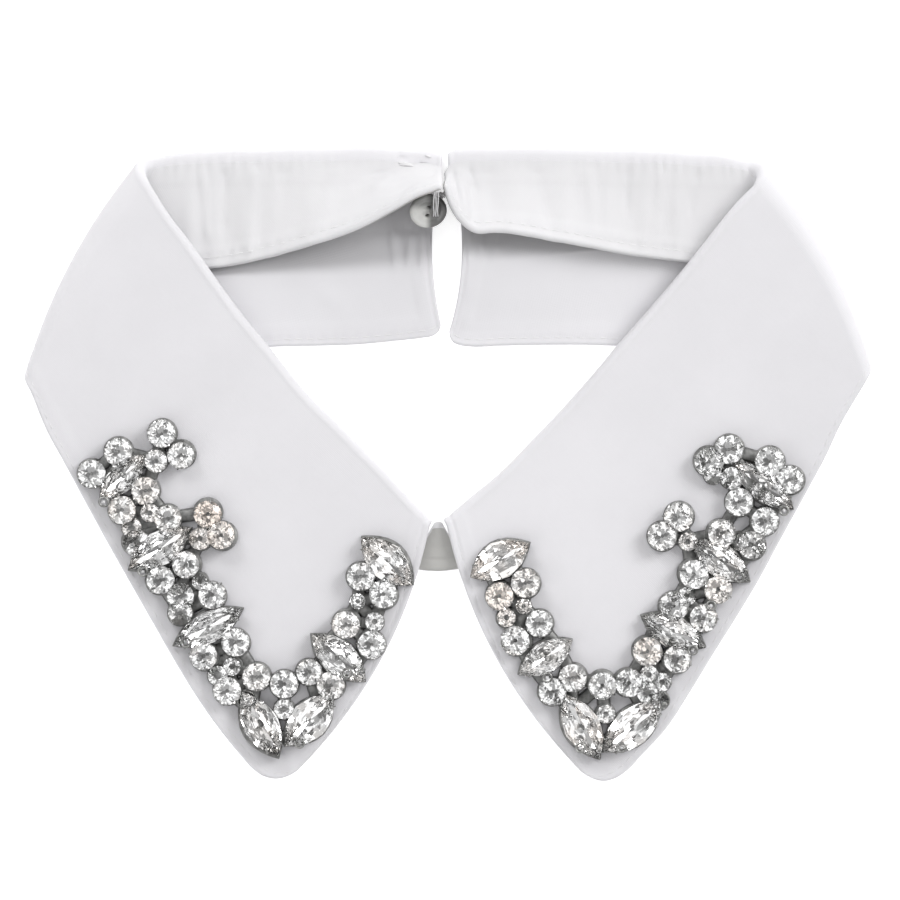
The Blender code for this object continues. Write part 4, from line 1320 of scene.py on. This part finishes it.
def leaf_cut_places(panel, crease):
    """Places of a leaf's points on its flat cut: the back part folded out past the crease."""
    fold, edge = np.array(crease[:2]), np.array(crease[2:])
    way = unit(edge - fold)
    out = panel.side * np.array([way[1], -way[0]])
    flat = panel.points[..., :2].copy()
    beyond = (flat - edge) @ out
    rows = np.arange(flat.shape[0])
    turned = rows > rows[np.argmax(beyond.max(axis=1))]
    flat[turned] -= 2 * beyond[turned][..., None] * out
    return flat


def band_cut_places(panel):
    """Places of a band's points on its flat cut."""
    middle = panel.points.shape[1] // 2
    along = np.repeat(panel.from_start[:, middle:middle + 1], panel.points.shape[1], axis=1)
    return np.stack([along, panel.from_first], axis=-1)


def stand_panel(left, right):
    """The stand: gathered at its seam, rippled, with a rolled and stitched lower edge."""
    panel = Panel(stand_strips(left, right), 1)
    x = panel.points[..., 0]
    upward = panel.facing(1)
    drawn = np.interp(x, *zip(*SEAM_GATHERS)) * upward * SEAM_PUCKER
    heights = drawn * gathers(x, STITCH_PITCH, SEAM_SEED) * bump(panel.from_first, STAND_SEAM_REACH)
    drawn = np.interp(x, *zip(*FOOT_GATHERS)) * upward * HEM_PUCKER
    drawn = drawn * gathers(x, STITCH_PITCH, FOOT_SEED)
    heights += drawn * bump(panel.from_last - FOOT_IN, FOOT_REACH)
    calm = np.clip(panel.from_first / SEAM_CALM, 0, 1) ** 2
    heights += crease_heights(panel.points, STAND_CREASES) * upward * calm
    panel.push(heights)
    return panel


def stand_half(panel):
    """Half thickness of the stand, with its rolled lower edge and the dip inside it."""
    half = panel.half_thickness() + SEAM_RISE * np.clip(2 - panel.from_first / SEAM_LAP, 0, 1)
    inside = np.clip(panel.edge_distance(), 0, 1)
    upward = panel.facing(1)
    roll = STAND_ROLL * bump(panel.from_last - STAND_ROLL_IN, STAND_ROLL_HALF)
    dip = STAND_GROOVE * bump(panel.from_last - STAND_GROOVE_IN, STAND_GROOVE_HALF)
    rim = (roll - dip) * upward + stitch_groove(panel.from_last, STAND_STITCH_IN)
    return np.maximum(half + rim * inside, LEAST_HALF)


def shade_outside(band, panel, facing):
    """Paints shade on the outside of the stand, below the pale upper edge: a grey cloth for where
    it lies in shade between the leaves and under its lip.
    """
    band.data.materials.append(facing)
    upper, lower = OUTSIDE_SHADE_IN
    below = (panel.from_first[:-1, :-1] > upper) & (panel.from_last[:-1, :-1] > lower)
    slots = np.zeros(len(band.data.polygons), np.int32)
    slots[below.size:2 * below.size] = below.ravel()
    band.data.polygons.foreach_set("material_index", slots)


def fill(node, inputs):
    """Sets a node's inputs by their labels, each to a value or linked to a socket."""
    for label, value in inputs.items():
        if isinstance(value, bpy.types.NodeSocket):
            node.id_data.links.new(value, node.inputs[label])
        else:
            node.inputs[label].default_value = value
    return node


def new_node(tree, kind, inputs):
    return fill(tree.nodes.new(f"ShaderNode{kind}"), inputs)


def math_node(tree, operation, *values):
    node = tree.nodes.new("ShaderNodeMath")
    node.operation = operation
    return fill(node, dict(enumerate(values))).outputs[0]


def map_range(tree, value, span, reach=(0.0, 1.0), smooth=False):
    """A value carried over from one span to another."""
    node = tree.nodes.new("ShaderNodeMapRange")
    node.interpolation_type = "SMOOTHSTEP" if smooth else "LINEAR"
    (start, end), (low, high) = span, reach
    fill(node, {"Value": value, "From Min": start, "From Max": end, "To Min": low, "To Max": high})
    return node.outputs["Result"]


def noise(tree, place, scale, detail=2.0):
    node = new_node(tree, "TexNoise", {"Vector": place, "Scale": scale, "Detail": detail})
    return node.outputs["Fac"]


def node_group(name, inputs, outputs):
    """An empty shader group. Its inputs are numbers, or places where no number is given."""
    group = bpy.data.node_groups.new(name, "ShaderNodeTree")
    for label, value in inputs.items():
        kind = "NodeSocketVector" if value is None else "NodeSocketFloat"
        socket = group.interface.new_socket(label, in_out="INPUT", socket_type=kind)
        if value is not None:
            socket.default_value = value
    for label in outputs:
        group.interface.new_socket(label, in_out="OUTPUT", socket_type="NodeSocketFloat")
    return group, group.nodes.new("NodeGroupInput").outputs, group.nodes.new("NodeGroupOutput")


def weave_group():
    """Plain weave by the places on the flat cut: its height and a shade for its gaps."""
    tree, given, made = node_group(
        "Plain weave",
        {"Cut": None, "Threads per metre": 3400.0, "Unevenness": 0.35},
        ("Height", "Gaps"),
    )
    parts = new_node(tree, "SeparateXYZ", {0: given["Cut"]})
    turn = math_node(tree, "MULTIPLY", given["Threads per metre"], math.pi)
    drift = math_node(tree, "MULTIPLY", noise(tree, given["Cut"], SLUB_SCALE), given["Unevenness"])
    waves = []
    for axis in ("X", "Y"):
        angle = math_node(tree, "MULTIPLY", parts.outputs[axis], turn)
        waves.append(math_node(tree, "SINE", math_node(tree, "ADD", angle, drift)))
    over = math_node(tree, "MULTIPLY", *waves)
    gaps = math_node(tree, "SUBTRACT", 1.0, math_node(tree, "ABSOLUTE", over))
    fill(made, {"Height": math_node(tree, "MULTIPLY_ADD", over, 0.5, 0.5), "Gaps": gaps})
    return tree


def cloud_group():
    """Soft uneven patches: a shade between low and high, and a slow height."""
    tree, given, made = node_group(
        "Soft patches",
        {"Place": None, "Scale": 60.0, "Low": 0.95, "High": 1.0},
        ("Shade", "Height"),
    )
    cloud = noise(tree, given["Place"], given["Scale"], 3.0)
    shade = map_range(tree, cloud, CLOUD_SPAN, (given["Low"], given["High"]))
    fill(made, {"Shade": shade, "Height": cloud})
    return tree


def placed_group(tree, group, inputs):
    node = tree.nodes.new("ShaderNodeGroup")
    node.node_tree = group
    return fill(node, inputs)


def patchy_material(name, color, roughness, patches, spread, more):
    """A finish and its soft patches: the material, its shader, the place and the patches.

    spread holds the patches' scale, low and high; more holds other values of the shader.
    """
    made = bpy.data.materials.new(name)
    made.use_nodes = True
    made.diffuse_color = (*color, 1.0)
    tree = made.node_tree
    shader = tree.nodes["Principled BSDF"]
    fill(shader, {"Base Color": (*color, 1.0), "Roughness": roughness, **more})
    place = tree.nodes.new("ShaderNodeTexCoord").outputs["Object"]
    scale, low, high = spread
    inputs = {"Place": place, "Scale": scale, "Low": low, "High": high}
    return made, shader, place, placed_group(tree, patches, inputs).outputs


def shaded_color(shader, color, shade):
    """Base colour times a shade that changes over the surface."""
    mix = shader.id_data.nodes.new("ShaderNodeMix")
    mix.data_type = "RGBA"
    mix.blend_type = "MULTIPLY"
    fill(mix, {"Factor": 1.0, "A": (*color, 1.0), "B": shade})
    fill(shader, {"Base Color": mix.outputs["Result"]})


def bump_by(shader, height, distance, strength):
    inputs = {"Height": height, "Distance": distance, "Strength": strength}
    fill(shader, {"Normal": new_node(shader.id_data, "Bump", inputs).outputs["Normal"]})


def painted_pocket_shade(tree, place, ridge):
    """Painted shade for the pocket inside the back fold, under the stand's lip, from the pressed
    crease inward.
    """
    (x1, y1, _), (x2, y2, _) = ridge
    slope = (y2 - y1) / (x2 - x1)
    x, y, z = new_node(tree, "SeparateXYZ", {0: place}).outputs
    line = math_node(tree, "ADD", math_node(tree, "MULTIPLY", x, slope), (y1 - slope * x1) * MM)
    off = math_node(tree, "SUBTRACT", y, line)
    outward = math_node(tree, "ABSOLUTE", x)
    span = sorted((abs(x1) * MM, abs(x2) * MM))
    share = math_node(tree, "DIVIDE", off, map_range(tree, outward, span, POCKET_SHADE_FADE))
    where = map_range(tree, share, (POCKET_SHADE_START * MM, MM), smooth=True)
    for value, (start, end) in zip((y, z, outward), POCKET_SHADE_ENDS):
        inside = map_range(tree, value, (start * MM, end * MM), (1.0, 0.0), smooth=True)
        where = math_node(tree, "MULTIPLY", where, inside)
    return math_node(tree, "SUBTRACT", 1.0, math_node(tree, "MULTIPLY", where, POCKET_PAINTED_SHADE))


def shirting_material(name, color, weave, patches, ridge=None):
    """White cotton shirting: a fine plain weave, soft patches and a faint nap."""
    nap = {"Sheen Weight": 0.12, "Sheen Roughness": 0.5, "Specular IOR Level": 0.25}
    spread = (45.0, 0.965, 1.0)
    made, shader, place, cloud = patchy_material(name, color, 0.88, patches, spread, nap)
    tree = made.node_tree
    cut = tree.nodes.new("ShaderNodeUVMap")
    cut.uv_map = "Cut"
    threads = placed_group(tree, weave, {"Cut": cut.outputs["UV"]}).outputs
    dark = math_node(tree, "MULTIPLY", threads["Gaps"], WEAVE_SHADE)
    shade = math_node(tree, "SUBTRACT", cloud["Shade"], dark)
    # painted shade: the pocket under the stand's lip is darkened here
    if ridge:
        shade = math_node(tree, "MULTIPLY", shade, painted_pocket_shade(tree, place, ridge))
    shaded_color(shader, color, shade)
    fuzz = math_node(tree, "MULTIPLY", noise(tree, place, FUZZ_SCALE, 3.0), FUZZ_SHARE)
    bump_by(shader, math_node(tree, "ADD", threads["Height"], fuzz), 0.00006, 0.35)
    return made


def crystal_material(patches):
    """Clear cut crystal with the faintest smears."""
    glass = {"Transmission Weight": 1.0, "IOR": 1.56}
    clear, spread = (1.0, 1.0, 1.0), (700.0, 0.97, 1.0)
    made, shader, _, haze = patchy_material("Clear crystal", clear, 0.01, patches, spread, glass)
    shaded_color(shader, clear, haze["Shade"])
    smear = map_range(made.node_tree, haze["Height"], (0.0, 1.0), CRYSTAL_SMEAR)
    fill(shader, {"Roughness": smear})
    return made


def foil_material(patches):
    """Silver foil behind the crystals, a little warm on some of them."""
    pale, spread = (0.95, 0.95, 0.95), (900.0, 0.015, 0.05)
    metal = {"Metallic": 1.0}
    made, shader, place, grain = patchy_material("Foil backing", pale, 0.03, patches, spread, metal)
    ramp = new_node(made.node_tree, "ValToRGB", {"Fac": noise(made.node_tree, place, TINT_SCALE)})
    for stop, (position, color) in zip(ramp.color_ramp.elements, FOIL_TINTS):
        stop.position = position
        stop.color = (*color, 1.0)
    fill(shader, {"Base Color": ramp.outputs["Color"], "Roughness": grain["Shade"]})
    return made


def silver_material(patches):
    """Dull silver of the cups and claws, worn in places."""
    dull, spread = (0.40, 0.40, 0.39), (350.0, 0.45, 1.0)
    metal = {"Metallic": 1.0}
    made, shader, _, wear = patchy_material("Silver setting", dull, 0.3, patches, spread, metal)
    shaded_color(shader, (0.42, 0.42, 0.41), wear["Shade"])
    rough = map_range(made.node_tree, wear["Height"], (0.0, 1.0), SILVER_WEAR)
    fill(shader, {"Roughness": rough})
    return made


def plate_material(patches):
    """Dark metal, low between the stones: partly the setting's own metal, partly painted shade for
    the gaps between the stones.
    """
    dark, spread = (0.24, 0.24, 0.235), (600.0, 0.5, 1.3)
    metal = {"Metallic": 0.6}
    made, shader, _, worn = patchy_material("Dark plate with painted shade", dark, 0.5, patches, spread, metal)
    shaded_color(shader, dark, worn["Shade"])
    bump_by(shader, worn["Height"], 0.0001, 0.4)
    return made


def button_material(patches):
    """Glossy off-white button, with painted shade toward the right and the back."""
    white, spread = (0.80, 0.80, 0.77), (260.0, 0.9, 1.02)
    coat = {"Coat Weight": 0.5, "Coat Roughness": 0.08}
    made, shader, place, pearl = patchy_material("White button", white, 0.25, patches, spread, coat)
    tree = made.node_tree
    parts = new_node(tree, "SeparateXYZ", {0: place}).outputs
    shade = pearl["Shade"]
    for axis, (start, end), darkest in BUTTON_PAINTED_SHADE:
        span = (start * MM, end * MM)
        painted_dark = map_range(tree, parts[axis], span, (1.0, darkest), smooth=True)
        shade = math_node(tree, "MULTIPLY", shade, painted_dark)
    shaded_color(shader, (0.66, 0.66, 0.64), shade)
    bump_by(shader, pearl["Height"], 0.00005, 0.3)
    return made


def thread_material(patches):
    """White sewing thread with a fine ply."""
    white, spread = (0.75, 0.745, 0.755), (2600.0, 0.93, 1.0)
    nap = {"Sheen Weight": 0.2}
    made, shader, _, ply = patchy_material("White thread", white, 0.7, patches, spread, nap)
    shaded_color(shader, white, ply["Shade"])
    bump_by(shader, ply["Height"], 0.0001, 0.5)
    return made


def floor_material(patches):
    """A nearly white table that glows a little, as an overlit backdrop does."""
    pale, spread = (0.93, 0.93, 0.93), (3.0, 0.985, 1.0)
    glow = {"Emission Color": (1.0, 1.0, 1.0, 1.0), "Emission Strength": FLOOR_GLOW}
    made, shader, _, cloud = patchy_material("Pale table", pale, 0.6, patches, spread, glow)
    shaded_color(shader, pale, cloud["Shade"])
    return made


def turned_button(collection, finish):
    """The turned button: dished face, raised rim, two holes sunk in the dish."""
    maker = Maker()
    rings = [circle(radius, height, BUTTON_SIDES) for radius, height in BUTTON_PROFILE]
    maker.rings(rings[::-1], 0, True)
    button = maker.finish("button_turned", collection, [finish])
    seat = Matrix.Translation(BUTTON_CENTRE) @ tilted_to(Vector(BUTTON_FACE))
    button.data.transform(Matrix.Scale(MM, 4) @ seat @ Matrix.Scale(1 / MM, 4))
    for turn in BUTTON_HOLE_TURNS:
        x = BUTTON_HOLE_REACH * math.cos(math.radians(turn))
        y = BUTTON_HOLE_REACH * math.sin(math.radians(turn))
        drill = Maker()
        ends = []
        for z in (-BUTTON_DRILL_REACH, BUTTON_DRILL_REACH):
            ends.append(circle(BUTTON_HOLE_RADIUS, z, BUTTON_DRILL_SIDES, x, y))
        drill.rings(ends, seat=seat)
        cutter = drill.finish(f"button_drill_{turn}", collection, [finish])
        cut = button.modifiers.new("Hole", "BOOLEAN")
        cut.operation = "DIFFERENCE"
        cut.object = cutter
        graph = bpy.context.evaluated_depsgraph_get()
        shape = bpy.data.meshes.new_from_object(button.evaluated_get(graph))
        button.modifiers.clear()
        button.data = shape
        bpy.data.objects.remove(cutter)
    return button


def area_light(name, place, size, power):
    light = bpy.data.lights.new(name, "AREA")
    light.shape = "SQUARE"
    light.size = size
    light.energy = power
    made = new_object(name, light, bpy.context.scene.collection)
    made.location = place
    made.rotation_euler = (-Vector(place)).to_track_quat("-Z", "Y").to_euler()


def panelled_room():
    """A room of light panels and dark gaps, which the crystals pick up as sparkle."""
    world = bpy.data.worlds.new("Panelled room")
    world.use_nodes = True
    tree = world.node_tree
    way = tree.nodes.new("ShaderNodeTexCoord").outputs["Generated"]
    panels = new_node(tree, "TexVoronoi", {"Vector": way, "Scale": PANEL_SCALE})
    pick = new_node(tree, "SeparateColor", {"Color": panels.outputs["Color"]})
    levels = new_node(tree, "ValToRGB", {"Fac": pick.outputs["Red"]})
    levels.color_ramp.interpolation = "CONSTANT"
    steps = levels.color_ramp.elements
    for k, (place, shade) in enumerate(PANEL_LEVELS):
        step = steps[k] if k < 2 else steps.new(place)
        step.position = place
        step.color = (shade, shade, shade, 1.0)
    _, back, up = new_node(tree, "SeparateXYZ", {0: way}).outputs
    overhead = map_range(tree, up, OVERHEAD_SPAN, (0.0, OVERHEAD_LIGHT))
    light = math_node(tree, "MAXIMUM", levels.outputs["Color"], overhead)
    strength = map_range(tree, back, ROOM_DEPTH, (ROOM_LIGHT * FRONT_SHARE, ROOM_LIGHT))
    fill(tree.nodes["Background"], {"Color": light, "Strength": strength})
    return world


def studio(patches):
    """Pale table, soft lights and a room of light panels."""
    table = Maker()
    reach = TABLE_REACH
    corners = [(-reach, -reach, 0), (reach, -reach, 0), (reach, reach, 0), (-reach, reach, 0)]
    table.add(corners, [(0, 1, 2, 3)])
    made = table.finish("pale_table", bpy.context.scene.collection, [floor_material(patches)])
    made.location.z = TABLE_LEVEL
    for name, place, size, power in LIGHTS:
        area_light(name, place, size, power)
    bpy.context.scene.world = panelled_room()
    bpy.context.scene.cycles.glossy_bounces = SPARKLE_BOUNCES
    bpy.context.scene.cycles.max_bounces = SPARKLE_BOUNCES
    bpy.context.scene.view_settings.view_transform = "Standard"


def camera():
    seen = bpy.data.cameras.new("Over the table")
    seen.sensor_width = SENSOR
    seen.lens = SENSOR * (VIEW_HEIGHT - VIEW_LEVEL) / VIEW_WIDTH
    seen.clip_end = VIEW_END
    made = new_object("Over the table", seen, bpy.context.scene.collection)
    made.location = (*VIEW_CENTRE, VIEW_HEIGHT)
    bpy.context.scene.camera = made


def make_leaf(name, sections, side, folds, finish, thread, cloth):
    """One leaf with its topstitching."""
    ridge, creases, side_crease = folds
    panel = leaf_panel(sections, side, ridge, creases, HEM_SEEDS[name])
    half = stitched_half(panel)
    half -= LEAF_SEAM_THIN * np.clip(1 - panel.from_first / SEAM_LAP, 0, 1)
    places = leaf_cut_places(panel, side_crease)
    leaf = shell(f"leaf_{name}_cloth", panel, half, places, cloth, finish)
    sewing = Maker()
    near_tip = (panel.from_last[0] > TOPSTITCH_IN) & (panel.from_first[0] > PAST_ROLL)
    for face in (1, -1):
        stitches(sewing, *line_at(panel, half, face, panel.from_last, TOPSTITCH_IN))
        stitches(sewing, *line_at(panel, half, face, panel.from_start, TOPSTITCH_IN, near_tip))
    sewn = sewing.finish(f"topstitch_{name}", cloth, [thread])
    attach(leaf, "root")
    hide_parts(f"leaf_{name}")
    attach(sewn, "root")
    return leaf


def make_stand(left, right, left_leaf, finishes, thread, cloth):
    """The stand with its topstitching and the bar tacks at its left end."""
    panel = stand_panel(left, right)
    half = stand_half(panel)
    band = shell("stand_cloth", panel, half, band_cut_places(panel), cloth, finishes[0])
    shade_outside(band, panel, finishes[1])
    sewing = Maker()
    stitches(sewing, *line_at(panel, half, 1, panel.from_last, STAND_STITCH_IN))
    bar_tacks(sewing, surface_of(band, left_leaf))
    sewn = sewing.finish("topstitch_stand", cloth, [thread])
    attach(band, "root")
    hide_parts("stand")
    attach(sewn, "root")


def make_fastening(patches, thread, cloth):
    """The button with its thread shank, and the loop with its strands."""
    button = turned_button(cloth, button_material(patches))
    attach(button, "root")
    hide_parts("button")
    shank = twisted_cord("shank_thread", SHANK_PATH, SHANK_DIAMETER, *SHANK_LAY, cloth, thread)
    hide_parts("button_shank")
    loop = twisted_cord("loop_cord", LOOP_PATH, LOOP_CORD, *LOOP_LAY, cloth, thread)
    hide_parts("button_loop")
    strands = loop_strands(cloth, thread)
    for cord in (shank, loop, strands):
        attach(cord, "root")


def new_collection(name):
    made = bpy.data.collections.new(name)
    bpy.context.scene.collection.children.link(made)
    return made


def main():
    cloth = new_collection("Cloth and sewing")
    glitter = new_collection("Crystals and settings")
    weave, patches = weave_group(), cloud_group()
    thread = thread_material(patches)
    left = leaf_sections(LEFT_FRONT, LEFT_CREASE, LEFT_BACK, 1)
    right = leaf_sections(RIGHT_FRONT, RIGHT_CREASE, RIGHT_BACK, -1)
    leaves = {}
    for name, sections, side, folds, ends in (
        ("left", left, 1, (LEFT_RIDGE, LEFT_CREASES, LEFT_CREASE), LEFT_POCKET_SHADE_LINE),
        ("right", right, -1, (RIGHT_RIDGE, RIGHT_CREASES, RIGHT_CREASE), RIGHT_POCKET_SHADE_LINE),
    ):
        finish = shirting_material(f"White shirting {name}", LEAF_WHITE, weave, patches, ends)
        leaves[name] = make_leaf(name, sections, side, folds, finish, thread, cloth)
    stand_cloth = shirting_material("Stand shirting", STAND_WHITE, weave, patches)
    # the stand's outside takes a grey of painted shade
    outside_shade_cloth = shirting_material("Stand outside painted shade", STAND_OUTSIDE_SHADE_GREY, weave, patches)
    make_stand(left, right, leaves["left"], (stand_cloth, outside_shade_cloth), thread, cloth)

    crystal, foil = crystal_material(patches), foil_material(patches)
    finishes = (crystal, foil, silver_material(patches), thread, plate_material(patches))
    for name, navettes, rounds, holes in (
        ("left", LEFT_NAVETTES, LEFT_ROUNDS, LEFT_HOLES),
        ("right", RIGHT_NAVETTES, RIGHT_ROUNDS, RIGHT_HOLES),
    ):
        stones, settings = trim(name, leaves[name], navettes, rounds, holes, glitter, finishes)
        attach(stones, "root")
        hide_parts(f"trim_{name}")
        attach(settings, "root")

    make_fastening(patches, thread, cloth)
    studio(patches)
    camera()
    bpy.context.view_layer.update()


main()
